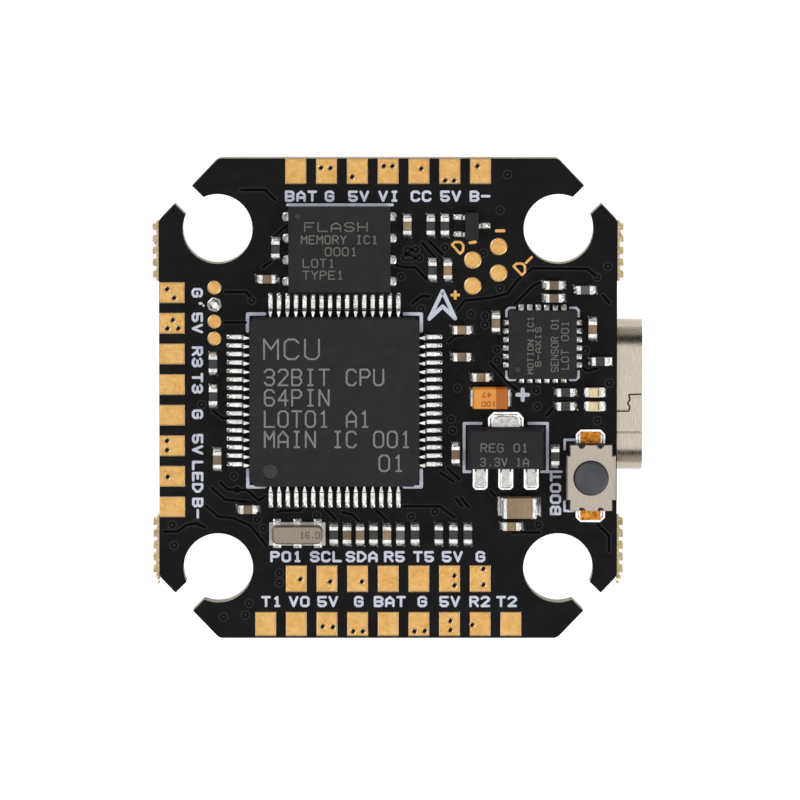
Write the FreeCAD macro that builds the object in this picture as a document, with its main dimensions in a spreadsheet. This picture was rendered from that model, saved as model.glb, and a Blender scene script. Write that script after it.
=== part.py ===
"""Flight controller board with a 20 x 20 mm mounting pattern.

Units are millimetres. +Z points out of the component side, +Y is the flying direction and +X is the
side that the USB socket looks out of. The origin is the centre of the mounting pattern, on the
underside of the laminate. Each package is drawn about its own centre, with its mounting plane at
z = 0, and its Placement sets it on the top or turns it over onto the underside.
"""
import FreeCAD, Part
import math
import os
import re
import Sketcher

doc = FreeCAD.newDocument("flight_controller")
sheet = doc.addObject("Spreadsheet::Sheet", "Sizes")

# ---------------------------------------------------------------- driving sizes
SIZES = {
    # laminate
    "board_width": 26.9,
    "board_length": 28.3,
    "board_thick": 1.6,
    "corner_cut_x": 3.5,
    "corner_cut_y": 3.65,
    "corner_round": 0.5,
    "hole_spacing": 20.0,
    "hole_radius": 2.05,
    "slot_width": 1.48,
    # torn stubs where the board was broken out of its panel
    "stub_base": 0.15,
    "stub_tooth": 0.22,
    "stub_tooth_wide": 0.34,
    "stub_pitch": 0.7,
    "stub_count": 5,
    "stub_front_y": 8.7,
    "stub_rear_y": -8.7,
    # gold lands, solder on the component lands
    "pad_thick": 0.04,
    "land_thick": 0.05,
    "land_margin": 0.06,
    "land_past": 0.4,
    "heel_room": 0.1,
    "pad_pitch": 1.805,
    "pad_wide": 1.23,
    "front_pad_count": 7,
    "front_pad_long": 1.5,
    "left_pad_count": 8,
    "left_pad_long": 1.5,
    "left_pad_first_y": 6.26,
    "rear_pad_count": 9,
    "rear_pad_long": 1.43,
    "rear_pad_inset": 0.12,
    "inner_pad_count": 7,
    "inner_pad_long": 1.58,
    "inner_pad_gap": 1.18,
    "via_radius": 0.12,
    "probe_radius": 0.41,
    "probe_pitch": 1.0,
    "probe_count": 4,
    "usb_probe_radius": 0.51,
    # processor, 64-lead quad flat package
    "mcu_wide": 10.0,
    "mcu_high": 1.5,
    "mcu_gap": 0.1,
    "mcu_corner": 0.35,
    "mcu_pitch": 0.5,
    "mcu_count": 16,
    "mcu_span": 12.0,
    "mcu_foot": 0.6,
    "mcu_lead_wide": 0.22,
    "mcu_lead_thick": 0.13,
    "mcu_land_span": 12.75,
    "mcu_land_wide": 0.3,
    "mould_draft": 8.0,
    "dimple_depth": 0.06,
    "mcu_dimple": 0.45,
    "mcu_dimple_at": 4.05,
    "mcu_dimple_shift": 0.3,
    "mark_inset": 0.55,
    "mark_radius": 0.2,
    # flash memory, 8-terminal leadless package
    "flash_wide": 6.0,
    "flash_long": 5.0,
    "flash_high": 0.75,
    "flash_pitch": 1.27,
    "flash_count": 4,
    "flash_pad_wide": 0.42,
    "flash_pad_deep": 0.6,
    "flash_land_out": 0.25,
    # motion sensor, 24-terminal leadless package
    "gyro_wide": 4.0,
    "gyro_high": 0.9,
    "gyro_pitch": 0.5,
    "gyro_count": 6,
    "gyro_pad_wide": 0.24,
    "gyro_pad_deep": 0.35,
    "gyro_land_out": 0.28,
    "terminal_thick": 0.2,
    # three-volt regulator, SOT-89
    "reg_wide": 4.5,
    "reg_long": 2.5,
    "reg_high": 1.5,
    "reg_pitch": 1.5,
    "reg_lead_wide": 0.45,
    "reg_lead_out": 1.0,
    "reg_lead_in": 0.4,
    "reg_lead_thick": 0.38,
    "reg_tab_wide": 1.6,
    "reg_tab_out": 0.6,
    "reg_land_grow": 0.24,
    # moulded tantalum capacitor
    "tant_long": 2.05,
    "tant_wide": 1.3,
    "tant_high": 1.2,
    "tant_strip": 0.1,
    "tant_strip_wide": 0.95,
    "tant_strip_high": 0.62,
    "tant_foot": 0.5,
    "tant_land_out": 0.27,
    # small chip parts, 1.0 x 0.5 mm
    "chip_long": 1.0,
    "chip_wide": 0.52,
    "chip_end": 0.25,
    "chip_cap_high": 0.5,
    "chip_res_high": 0.35,
    "chip_body_inset": 0.02,
    "chip_round": 0.035,
    "chip_land_out": 0.26,
    "chip_land_wide": 0.6,
    # bulk ceramic capacitors, 2.0 x 1.25 mm
    "bulk_long": 2.0,
    "bulk_wide": 1.25,
    "bulk_high": 1.25,
    "bulk_end": 0.45,
    "bulk_round": 0.08,
    "bulk_land_out": 0.32,
    # ceramic resonator
    "reso_long": 3.3,
    "reso_wide": 1.35,
    "reso_base_high": 0.4,
    "reso_lid_long": 2.95,
    "reso_lid_wide": 1.08,
    "reso_lid_high": 0.6,
    "reso_lid_round": 0.3,
    "reso_count": 3,
    "reso_pitch": 1.2,
    "reso_pad_wide": 0.42,
    "reso_pad_deep": 0.22,
    "reso_land_out": 0.22,
    # small transistor, SOT-523
    "tran_wide": 0.84,
    "tran_long": 1.6,
    "tran_high": 0.75,
    "tran_gap": 0.05,
    "tran_corner": 0.03,
    "tran_count": 2,
    "tran_pitch": 1.0,
    "tran_span": 1.6,
    "tran_foot": 0.22,
    "tran_lead_wide": 0.25,
    "tran_lead_thick": 0.12,
    # status lamps
    "led_long": 1.1,
    "led_wide": 0.55,
    "led_base_high": 0.2,
    "led_high": 0.5,
    "led_end": 0.22,
    # boot switch
    "switch_long": 3.9,
    "switch_case_high": 1.25,
    "switch_cover_thick": 0.15,
    "switch_flap_long": 2.6,
    "switch_flap_high": 0.95,
    "switch_notch_radius": 0.2,
    "switch_notch_at": 0.55,
    "switch_well_gap": 0.09,
    "switch_wall": 0.06,
    "switch_case_play": 0.02,
    "switch_shoulder": 0.225,
    "switch_well_floor": 0.4,
    "switch_land_span": 5.46,
    "switch_land_wide": 1.72,
    "switch_land_cut": 0.38,
    "switch_land_long": 1.15,
    "switch_strip_wide": 1.2,
    "switch_strip_thick": 0.12,
    "switch_strip_out": 0.68,
    "button_radius": 0.96,
    "button_clearance": 0.05,
    "button_flange_out": 0.17,
    "button_flange_thick": 0.3,
    "button_proud": 0.45,
    "button_slack": 0.02,
    "dome_thick": 0.07,
    "switch_well_radius": "=button_radius + button_flange_out + switch_well_gap",
    "switch_wide": "=2 * (switch_well_radius + switch_wall + switch_cover_thick + switch_case_play)",
    "switch_cover_top_wide": "=switch_wide - 2 * switch_shoulder",
    # USB socket on the underside
    "usb_wide": 8.94,
    "usb_high": 3.16,
    "usb_deep": 7.35,
    "usb_proud": 1.54,
    "usb_wall": 0.3,
    "usb_tongue_wide": 6.69,
    "usb_tongue_thick": 0.7,
    "usb_tongue_recess": 0.9,
    "usb_rear_deep": 2.1,
    "usb_foot_front": 1.2,
    "usb_foot_rear": 0.9,
    "usb_foot_in": 0.55,
    "usb_foot_wide": 1.0,
    "usb_foot_long": 2.0,
    "usb_pitch": 0.5,
    "usb_count": 12,
    "usb_contact_wide": 0.26,
    "usb_contact_thick": 0.1,
    "usb_contact_recess": 0.5,
    "usb_tail_long": 0.9,
    "usb_seam_wide": 0.07,
    "usb_seam_deep": 0.08,
    "usb_seam_y": -0.75,
    "usb_seam_step": 0.72,
    "usb_seam_x": 0.78,
    "usb_fold_y": -2.2,
    # speed-controller socket on the underside
    "esc_wide": 10.0,
    "esc_deep": 4.25,
    "esc_high": 2.95,
    "esc_wall": 0.55,
    "esc_floor": 1.1,
    "esc_pitch": 1.0,
    "esc_count": 8,
    "esc_pin": 0.3,
    "esc_pin_reach": 2.4,
    "esc_tail_long": 0.8,
    "esc_pin_height": 1.55,
    "esc_tab_wide": 0.7,
    "esc_tab_long": 1.8,
    "esc_edge_inset": 0.25,
    # video overlay chip on the underside, 28-lead thin package
    "osd_long": 9.7,
    "osd_wide": 4.4,
    "osd_high": 1.1,
    "osd_pitch": 0.65,
    "osd_count": 14,
    "osd_span": 6.4,
    "osd_foot": 0.6,
    "osd_lead_wide": 0.24,
    # video clock crystal
    "xtal_long": 3.2,
    "xtal_wide": 2.5,
    "xtal_base_high": 0.45,
    "xtal_lid_inset": 0.2,
    "xtal_lid_high": 0.3,
    "xtal_pad": 0.9,
    # five-volt converter and its inductor
    "buck_wide": 1.6,
    "buck_long": 2.9,
    "buck_high": 1.1,
    "buck_pitch": 0.95,
    "buck_count": 3,
    "buck_span": 2.8,
    "buck_foot": 0.4,
    "buck_lead_wide": 0.4,
    "coil_wide": 4.0,
    "coil_high": 2.0,
    "coil_corner": 0.6,
    "coil_end_wide": 1.3,
    "coil_end_thick": 0.12,
    "coil_foot": 1.04,
    "coil_round": 0.15,
}

# centres on the board: x, y, quarter turns
TOP_SPOTS = {
    "mcu": (-3.15, -0.1, 0),
    "flash": (-2.85, 8.82, 0),
    "gyro": (9.07, 3.24, 1),
    "regulator": (6.92, -2.87, 0),
    "tantalum": (6.0, 0.1, 0),
    "resonator": (-5.34, -7.95, 1),
    "transistor": (4.91, 10.2, 0),
    "switch": (11.9, -4.54, 0),
    "lamp_blue": (12.14, 0.4, 0),
    "lamp_amber": (12.14, -0.42, 0),
}
TOP_CAPACITORS = {
    "cap_video": (1.13, 10.2, 1),
    "cap_usb": (3.5, 7.6, 1),
    "cap_flash": (-7.1, 7.08, 0),
    "cap_gyro_a": (9.73, 6.72, 0),
    "cap_gyro_b": (9.73, 5.96, 0),
    "cap_gyro_c": (12.0, 4.13, 1),
    "cap_gyro_d": (6.33, 4.5, 1),
    "cap_mcu_a": (4.33, 4.09, 0),
    "cap_mcu_b": (4.33, 2.5, 0),
    "cap_mcu_c": (5.46, 1.3, 0),
    "cap_mcu_d": (-10.04, -3.57, 1),
    "cap_mcu_e": (-8.24, -6.5, 0),
    "cap_mcu_f": (3.97, -3.25, 1),
    "cap_supply": (7.25, -7.5, 0),
    "cap_row_a": (-2.42, -8.0, 1),
    "cap_row_b": (-1.65, -8.0, 1),
    "cap_row_c": (-0.07, -8.0, 1),
}
TOP_RESISTORS = {
    "res_front_a": (2.5, 10.2, 1),
    "res_front_b": (3.33, 10.2, 1),
    "res_usb": (2.6, 7.6, 1),
    "res_flash": (-6.6, 8.84, 1),
    "res_gyro": (12.45, 2.22, 0),
    "res_left_a": (-10.28, 2.08, 1),
    "res_left_b": (-10.28, 0.16, 1),
    "res_lamp_a": (10.42, 0.4, 0),
    "res_lamp_b": (10.42, -0.42, 0),
    "res_boot": (9.83, -3.38, 1),
    "res_row_a": (-3.2, -8.0, 1),
    "res_row_b": (-0.86, -8.0, 1),
    "res_row_c": (1.58, -8.0, 1),
    "res_row_d": (2.98, -8.0, 1),
    "res_row_e": (3.84, -8.0, 1),
    "res_row_f": (4.69, -8.0, 1),
}
TOP_FERRITES = {
    "bead_gyro": (11.56, 6.44, 0),
    "bead_row": (0.72, -8.0, 1),
}
TOP_BULKS = {"bulk_top": (7.72, -6.35, 0)}
UNDER_SPOTS = {
    "osd": (-8.3, 1.0, 0),
    "xtal": (-2.9, 4.6, 0),
    "buck": (-0.6, -3.4, 0),
    "coil": (3.6, -3.9, 0),
}
UNDER_CAPACITORS = {
    "cap_osd_a": (-10.4, 7.0, 0),
    "cap_osd_b": (-8.3, 7.0, 0),
    "cap_osd_c": (-6.2, 7.0, 0),
    "cap_xtal_a": (-4.3, 2.6, 1),
    "cap_xtal_b": (-1.5, 2.6, 1),
    "cap_buck": (-0.6, -5.9, 0),
}
UNDER_RESISTORS = {
    "res_cc_a": (5.6, 3.2, 1),
    "res_cc_b": (5.6, 1.4, 1),
    "res_buck_a": (-3.4, -3.0, 1),
    "res_buck_b": (-3.4, -4.8, 1),
    "res_osd_a": (-10.0, -5.7, 0),
    "res_osd_b": (-7.6, -5.7, 0),
}
UNDER_BULKS = {
    "bulk_in_a": (1.0, 9.6, 0),
    "bulk_in_b": (4.2, 9.6, 0),
    "bulk_out": (2.6, 0.3, 0),
}
# drilled through the gold lands: x and y
# vias in the wire lands: the place along the row, and the distance in from the board's edge
FRONT_VIAS = [
    (-3.93, 0.55), (-3.38, 0.57), (-2.11, 1.08), (-0.25, 0.45), (0.25, 0.45), (1.94, 0.6),
    (3.34, 1.3), (3.86, 1.3), (5.23, 0.45),
]
LEFT_VIAS = [
    (6.47, 0.48), (5.95, 0.89), (4.65, 0.8), (4.15, 0.48), (4.15, 1.13), (-2.47, 0.45),
    (-3.02, 0.45), (-4.6, 0.48),
]
REAR_VIAS = [
    (-5.18, 3.49), (-3.42, 3.35), (-1.55, 3.35), (3.9, 3.7), (3.9, 3.13), (5.6, 4.1),
    (5.6, 3.16), (-3.87, 0.69), (-3.26, 0.65), (-2.07, 0.4), (-1.5, 0.4), (1.55, 0.4),
    (2.15, 0.42), (3.66, 1.02), (3.66, 0.47), (4.95, 0.78),
]
VIA_ROWS = {"front": FRONT_VIAS, "left": LEFT_VIAS, "rear": REAR_VIAS}
VIA_PLACES = {
    "front": ("{along}", "board_length / 2 - {inset}"),
    "left": ("-board_width / 2 + {inset}", "{along}"),
    "rear": ("{along}", "-board_length / 2 + {inset}"),
}
USB_PROBES = {
    "probe_data_a": (4.96, 8.18),
    "probe_data_b": (6.48, 8.97),
    "probe_data_c": (6.48, 7.41),
    "probe_data_d": (4.96, 6.66),
}
PROBE_ROW = {"probe_row": (-10.2, 6.56)}
EVERY_SPOT = [
    TOP_SPOTS, TOP_CAPACITORS, TOP_RESISTORS, TOP_FERRITES, TOP_BULKS,
    UNDER_SPOTS, UNDER_CAPACITORS, UNDER_RESISTORS, UNDER_BULKS, USB_PROBES, PROBE_ROW,
]


# ---------------------------------------------------------------- helpers
aliases = set()


def write_cell(alias, value):
    """Put one plain number in the sheet under its alias."""
    row = len(aliases) + 1
    sheet.set(f"A{row}", alias)
    sheet.set(f"B{row}", str(value))
    sheet.setAlias(f"B{row}", alias)
    aliases.add(alias)


def fill_sheet():
    for alias, value in SIZES.items():
        write_cell(alias, value)
    for spots in EVERY_SPOT:
        for name, spot in spots.items():
            write_cell(name + "_x", spot[0])
            write_cell(name + "_y", spot[1])
    for edge, spots in VIA_ROWS.items():
        for number, (along, inset) in enumerate(spots):
            write_cell(f"via_{edge}_{number}_along", along)
            write_cell(f"via_{edge}_{number}_inset", inset)
    doc.recompute()


def tied(formula):
    """Turn a formula written with plain aliases into a document expression."""
    return re.sub(r"[a-z]+(?:_[a-z0-9]+)+", lambda found: "Sizes." + found.group(), str(formula))


def worth(formula):
    """The number that a formula has now."""
    return float(sheet.evalExpression(tied(formula)))


def bind(item, prop, formula):
    item.setExpression(prop, tied(formula))


def lay(item, x="0", y="0", z="0"):
    """Tie an object's place to the sheet."""
    bind(item, "Placement.Base.x", x)
    bind(item, "Placement.Base.y", y)
    bind(item, "Placement.Base.z", z)


def origin_feature(body, role):
    return next(item for item in body.Origin.OriginFeatures if item.Role == role)


def new_body(label):
    body = doc.addObject("PartDesign::Body", label)
    body.Label = label
    return body


def new_sketch(body, name, plane="XY_Plane", height="0"):
    sketch = body.newObject("Sketcher::SketchObject", name)
    sketch.AttachmentSupport = [(origin_feature(body, plane), "")]
    sketch.MapMode = "FlatFace"
    bind(sketch, "AttachmentOffset.Base.z", height)
    return sketch


def pin_point(sketch, edge, end, x, y):
    """Hold one point of an edge at formulas measured from the sketch's origin."""
    for axis, formula in (("DistanceX", x), ("DistanceY", y)):
        rule = Sketcher.Constraint(axis, -1, 1, edge, end, worth(formula))
        number = sketch.addConstraint(rule)
        sketch.setExpression(f"Constraints[{number}]", tied(formula))


def polygon(sketch, points):
    """A closed outline of straight edges through formula points."""
    first = sketch.GeometryCount
    places = [FreeCAD.Vector(worth(x), worth(y), 0) for x, y in points]
    for start, end in zip(places, places[1:] + places[:1]):
        sketch.addGeometry(Part.LineSegment(start, end), False)
    for number in range(len(points)):
        following = first + (number + 1) % len(points)
        sketch.addConstraint(Sketcher.Constraint("Coincident", first + number, 2, following, 1))
    for number, (x, y) in enumerate(points):
        pin_point(sketch, first + number, 1, x, y)


def rectangle(sketch, x, y, wide, long):
    """An upright rectangle about a centre."""
    left, right = f"({x}) - ({wide}) / 2", f"({x}) + ({wide}) / 2"
    low, high = f"({y}) - ({long}) / 2", f"({y}) + ({long}) / 2"
    polygon(sketch, [(left, low), (right, low), (right, high), (left, high)])


def circle(sketch, x, y, radius):
    centre = FreeCAD.Vector(worth(x), worth(y), 0)
    up = FreeCAD.Vector(0, 0, 1)
    edge = sketch.addGeometry(Part.Circle(centre, up, worth(radius)), False)
    number = sketch.addConstraint(Sketcher.Constraint("Radius", edge, worth(radius)))
    sketch.setExpression(f"Constraints[{number}]", tied(radius))
    pin_point(sketch, edge, 3, x, y)


def stadium(sketch, wide, high, y="0"):
    """A flat oval with half-round ends, long along the sketch's first axis."""
    half = f"(({wide}) - ({high})) / 2"
    radius = f"({high}) / 2"
    reach, bend, middle = worth(half), worth(radius), worth(y)
    up = FreeCAD.Vector(0, 0, 1)
    quarter = math.pi / 2
    first = sketch.GeometryCount
    right = Part.Circle(FreeCAD.Vector(reach, middle, 0), up, bend)
    left = Part.Circle(FreeCAD.Vector(-reach, middle, 0), up, bend)
    sketch.addGeometry(Part.ArcOfCircle(right, -quarter, quarter), False)
    top = [FreeCAD.Vector(side * reach, middle + bend, 0) for side in (1, -1)]
    sketch.addGeometry(Part.LineSegment(*top), False)
    sketch.addGeometry(Part.ArcOfCircle(left, quarter, 3 * quarter), False)
    low = [FreeCAD.Vector(side * reach, middle - bend, 0) for side in (-1, 1)]
    sketch.addGeometry(Part.LineSegment(*low), False)
    for before, after in ((0, 1), (1, 2), (2, 3), (3, 0)):
        rule = Sketcher.Constraint("Tangent", first + before, 2, first + after, 1)
        sketch.addConstraint(rule)
    pin_point(sketch, first, 3, half, y)
    pin_point(sketch, first + 2, 3, f"-({half})", y)
    number = sketch.addConstraint(Sketcher.Constraint("Radius", first, bend))
    sketch.setExpression(f"Constraints[{number}]", tied(radius))


def pad(body, sketch, length, side="One side", reverse=False, draft=None):
    feature = body.newObject("PartDesign::Pad", "Pad")
    feature.Profile = sketch
    feature.SideType = side
    feature.Reversed = reverse
    bind(feature, "Length", length)
    if draft:
        bind(feature, "TaperAngle", f"-{draft}")
    return feature


def pocket(body, sketch, depth, side="One side", reverse=False):
    """Cut a sketch into the body and make sure that it took something away."""
    doc.recompute()
    before = body.Shape.Volume
    feature = body.newObject("PartDesign::Pocket", "Pocket")
    feature.Profile = sketch
    feature.SideType = side
    feature.Reversed = reverse
    bind(feature, "Length", depth)
    doc.recompute()
    if body.Shape.Volume > before - 1e-7:
        raise RuntimeError(f"a pocket of {body.Label} cuts nothing")
    return feature


def row(body, role, count, pitch):
    """Repeat the whole body so far along one of its axes."""
    doc.recompute()
    feature = body.newObject("PartDesign::LinearPattern", "Row")
    feature.TransformMode = "Whole shape"
    feature.Direction = (origin_feature(body, role), [""])
    bind(feature, "Occurrences", count)
    bind(feature, "Length", f"({count} - 1) * {pitch}")
    body.Tip = feature
    return feature


def ring(body, count):
    """Repeat the whole body so far about its own Z axis."""
    doc.recompute()
    feature = body.newObject("PartDesign::PolarPattern", "Ring")
    feature.TransformMode = "Whole shape"
    feature.Axis = (origin_feature(body, "Z_Axis"), [""])
    feature.Angle = 360
    feature.Occurrences = count
    body.Tip = feature
    return feature


def ring_of(body, features, count):
    """Repeat chosen features about the body's Z axis."""
    doc.recompute()
    feature = body.newObject("PartDesign::PolarPattern", "RingOf")
    feature.Originals = features
    feature.Axis = (origin_feature(body, "Z_Axis"), [""])
    feature.Angle = 360
    feature.Occurrences = count
    body.Tip = feature
    return feature


def round_edges(body, base, radius, chosen=None):
    """Fillet all edges of a feature, or those that a test picks."""
    doc.recompute()
    feature = body.newObject("PartDesign::Fillet", "Round")
    if chosen is None:
        feature.Base = (base, [""])
        feature.UseAllEdges = True
    else:
        edges = enumerate(base.Shape.Edges, 1)
        feature.Base = (base, [f"Edge{number}" for number, edge in edges if chosen(edge)])
    bind(feature, "Radius", radius)
    return feature


def upright(edge):
    box = edge.BoundBox
    return box.XLength < 1e-6 and box.YLength < 1e-6


def block(label, wide, long, high, x="0", y="0", z="0", rounding=None):
    """A plain block about a centre, standing on z, with its edges eased if asked."""
    body = new_body(label)
    sketch = new_sketch(body, label + "_outline", height=z)
    rectangle(sketch, x, y, wide, long)
    feature = pad(body, sketch, high)
    if rounding:
        round_edges(body, feature, rounding)
    return body


def moulded(label, wide, long, low, middle, high, band, corner="0.05"):
    """A moulded package: drafted below and above the plane that its leads leave by."""
    body = new_body(label)
    seam = new_sketch(body, label + "_seam", height=f"({middle}) - ({band}) / 2")
    top = new_sketch(body, label + "_seam_top", height=f"({middle}) + ({band}) / 2")
    across, along = f"({wide}) / 2", f"({long}) / 2"
    inner_x, inner_y = f"({wide}) / 2 - ({corner})", f"({long}) / 2 - ({corner})"
    outline = [
        (f"-({across})", f"-({inner_y})"), (f"-({inner_x})", f"-({along})"),
        (inner_x, f"-({along})"), (across, f"-({inner_y})"),
        (across, inner_y), (inner_x, along),
        (f"-({inner_x})", along), (f"-({across})", inner_y),
    ]
    polygon(seam, outline)
    polygon(top, outline)
    pad(body, seam, band)
    if low is not None:
        depth = f"({middle}) - ({band}) / 2 - ({low})"
        pad(body, seam, depth, reverse=True, draft="mould_draft")
    pad(body, top, f"({high}) - ({middle}) - ({band}) / 2", draft="mould_draft")
    return body


def dimple(body, x, y, radius, top):
    """The shallow mark beside terminal one."""
    sketch = new_sketch(body, body.Label + "_mark", height=top)
    circle(sketch, x, y, radius)
    pocket(body, sketch, "dimple_depth")


LEAD_BEND = 0.6   # bend radius of a formed lead, as a share of its thickness


def gull_lead(body, start, span, foot, thick, wide, exit_height, offset):
    """One bent lead in the XZ plane: shoulder at the package, riser, and foot on the land."""
    sketch = new_sketch(body, body.Label + "_bend", plane="XZ_Plane", height=f"-({offset})")
    tip = f"({span}) / 2"
    heel = f"({span}) / 2 - ({foot})"
    bend = f"({thick}) * {LEAD_BEND}"
    low, high = f"({exit_height}) - ({thick}) / 2", f"({exit_height}) + ({thick}) / 2"
    polygon(sketch, [
        (start, low),
        (f"({heel}) - ({thick}) - ({bend})", low),
        (f"({heel}) - ({thick})", f"({low}) - ({bend})"),
        (f"({heel}) - ({bend}) * 0.6", bend),
        (f"({heel})", "0"),
        (tip, "0"),
        (tip, thick),
        (f"({heel}) + ({thick}) * 0.4", thick),
        (f"({heel}) + ({thick}) * 0.1", f"({thick}) + ({bend})"),
        (f"({heel}) - ({thick}) * 0.1", f"({low})"),
        (f"({heel}) - ({bend})", high),
        (start, high),
    ])
    pad(body, sketch, wide, side="Symmetric")


def put_top(item, name, height="board_thick + land_thick"):
    """Stand an object on the component side at its named spot, turned as the spot says."""
    turned = FreeCAD.Rotation(FreeCAD.Vector(0, 0, 1), 90 * TOP_SPOTS[name][2])
    item.Placement = FreeCAD.Placement(FreeCAD.Vector(), turned)
    lay(item, f"{name}_x", f"{name}_y", height)
    return item


def put_under(item, name, height="-land_thick"):
    """Turn an object over onto the underside at its named spot."""
    item.Placement = FreeCAD.Placement(
        FreeCAD.Vector(), FreeCAD.Rotation(FreeCAD.Vector(0, 1, 0), 180))
    lay(item, f"{name}_x", f"{name}_y", height)
    return item


def copies(prototype, spots, under=False, height="land_thick"):
    """Links to one drawn piece, one at each named spot."""
    links = []
    for name, (_, _, turns) in spots.items():
        link = doc.addObject("App::Link", f"{prototype.Label}_{name}")
        link.LinkedObject = prototype
        turned = FreeCAD.Rotation(FreeCAD.Vector(0, 0, 1), 90 * turns)
        if under:
            turned = FreeCAD.Rotation(FreeCAD.Vector(0, 1, 0), 180).multiply(turned)
        link.Placement = FreeCAD.Placement(FreeCAD.Vector(), turned)
        lay(link, f"{name}_x", f"{name}_y", f"-({height})" if under else f"board_thick + {height}")
        links.append(link)
    return links


def group(label, members):
    """Identical pieces that share one node, as separate solids."""
    item = doc.addObject("Part::Compound", label)
    item.Label = label
    item.Links = members
    return item


def cut(label, base, tool):
    item = doc.addObject("Part::Cut", label)
    item.Label = label
    item.Base = base
    item.Tool = tool
    return item


# ---------------------------------------------------------------- laminate and gold lands
def circuit_board():
    body = new_body("circuit_board")
    side, end = "board_width / 2", "board_length / 2"
    inner_x, inner_y = f"{side} - corner_cut_x", f"{end} - corner_cut_y"
    outline = new_sketch(body, "board_outline")
    polygon(outline, [
        (f"-({inner_x})", f"-({end})"), (inner_x, f"-({end})"), (side, f"-({inner_y})"),
        (side, inner_y), (inner_x, end), (f"-({inner_x})", end),
        (f"-({side})", inner_y), (f"-({side})", f"-({inner_y})"),
    ])
    plate = pad(body, outline, "board_thick")
    round_edges(body, plate, "corner_round", upright)
    stubs = new_sketch(body, "board_stubs")
    for place in ("stub_front_y", "stub_rear_y"):
        for way in ("", "-"):
            long = "stub_count * stub_pitch"
            rectangle(stubs, f"{way}({side} + stub_base / 2)", place, "stub_base", long)
    pad(body, stubs, "board_thick")
    teeth = new_sketch(body, "board_teeth")
    for place in ("stub_front_y", "stub_rear_y"):
        for way in ("", "-"):
            for number in range(SIZES["stub_count"]):
                x = f"{way}({side} + stub_base + stub_tooth / 2)"
                y = f"{place} + ({number} - (stub_count - 1) / 2) * stub_pitch"
                rectangle(teeth, x, y, "stub_tooth", "stub_tooth_wide")
    pad(body, teeth, "board_thick")
    hole = new_sketch(body, "board_hole")
    circle(hole, "hole_spacing / 2", "hole_spacing / 2", "hole_radius")
    bore = pocket(body, hole, "board_thick", reverse=True)
    slot = new_sketch(body, "board_slot")
    centre, half, reach = "hole_spacing / 2", "slot_width / 2 / sqrt(2)", "2 * hole_radius"
    polygon(slot, [
        (f"{centre} + {half}", f"{centre} - {half}"),
        (f"{centre} + {half} + {reach}", f"{centre} - {half} + {reach}"),
        (f"{centre} - {half} + {reach}", f"{centre} + {half} + {reach}"),
        (f"{centre} - {half}", f"{centre} + {half}"),
    ])
    channel = pocket(body, slot, "board_thick", reverse=True)
    ring_of(body, [bore, channel], 4)
    return body


def pad_row(label, wide, long, x, y, role, count, pitch):
    """A row of gold lands on the component side."""
    body = new_body(label)
    sketch = new_sketch(body, label + "_outline", height="board_thick")
    rectangle(sketch, x, y, wide, long)
    pad(body, sketch, "pad_thick")
    row(body, role, count, pitch)
    return body


def drill_vias(label, rows):
    """Fuse rows of lands into one node and drill the vias that pass through them."""
    drill = new_body(label + "_drill")
    sketch = new_sketch(drill, label + "_vias", height="board_thick - pad_thick")
    for edge, spots in VIA_ROWS.items():
        for number in range(len(spots)):
            names = {part: f"via_{edge}_{number}_{part}" for part in ("along", "inset")}
            x, y = (place.format(**names) for place in VIA_PLACES[edge])
            circle(sketch, x, y, "via_radius")
    pad(drill, sketch, "3 * pad_thick")
    return cut(label, group(label + "_blanks", rows), drill)


def gold_lands():
    start = "-({count} - 1) / 2 * pad_pitch"
    front = pad_row(
        "front_row", "pad_wide", "front_pad_long", start.format(count="front_pad_count"),
        "board_length / 2 - front_pad_long / 2", "X_Axis", "front_pad_count", "pad_pitch")
    left = pad_row(
        "left_row", "left_pad_long", "pad_wide", "-board_width / 2 + left_pad_long / 2",
        "left_pad_first_y - (left_pad_count - 1) * pad_pitch", "Y_Axis", "left_pad_count",
        "pad_pitch")
    rear_y = "-board_length / 2 + rear_pad_inset + rear_pad_long / 2"
    rear = pad_row(
        "rear_row", "pad_wide", "rear_pad_long", start.format(count="rear_pad_count"),
        rear_y, "X_Axis", "rear_pad_count", "pad_pitch")
    inner = pad_row(
        "inner_row", "pad_wide", "inner_pad_long", start.format(count="inner_pad_count"),
        f"{rear_y} + rear_pad_long / 2 + inner_pad_gap + inner_pad_long / 2", "X_Axis",
        "inner_pad_count", "pad_pitch")
    probes = new_body("round_pads")
    sketch = new_sketch(probes, "round_pad_outline", height="board_thick")
    for name in USB_PROBES:
        circle(sketch, f"{name}_x", f"{name}_y", "usb_probe_radius")
    for number in range(SIZES["probe_count"]):
        y = f"probe_row_y - {number} * probe_pitch"
        circle(sketch, "probe_row_x", y, "probe_radius")
    pad(probes, sketch, "pad_thick")
    return [drill_vias("edge_pads", [front, left, rear]), drill_vias("inner_pads", [inner]), probes]


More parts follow.
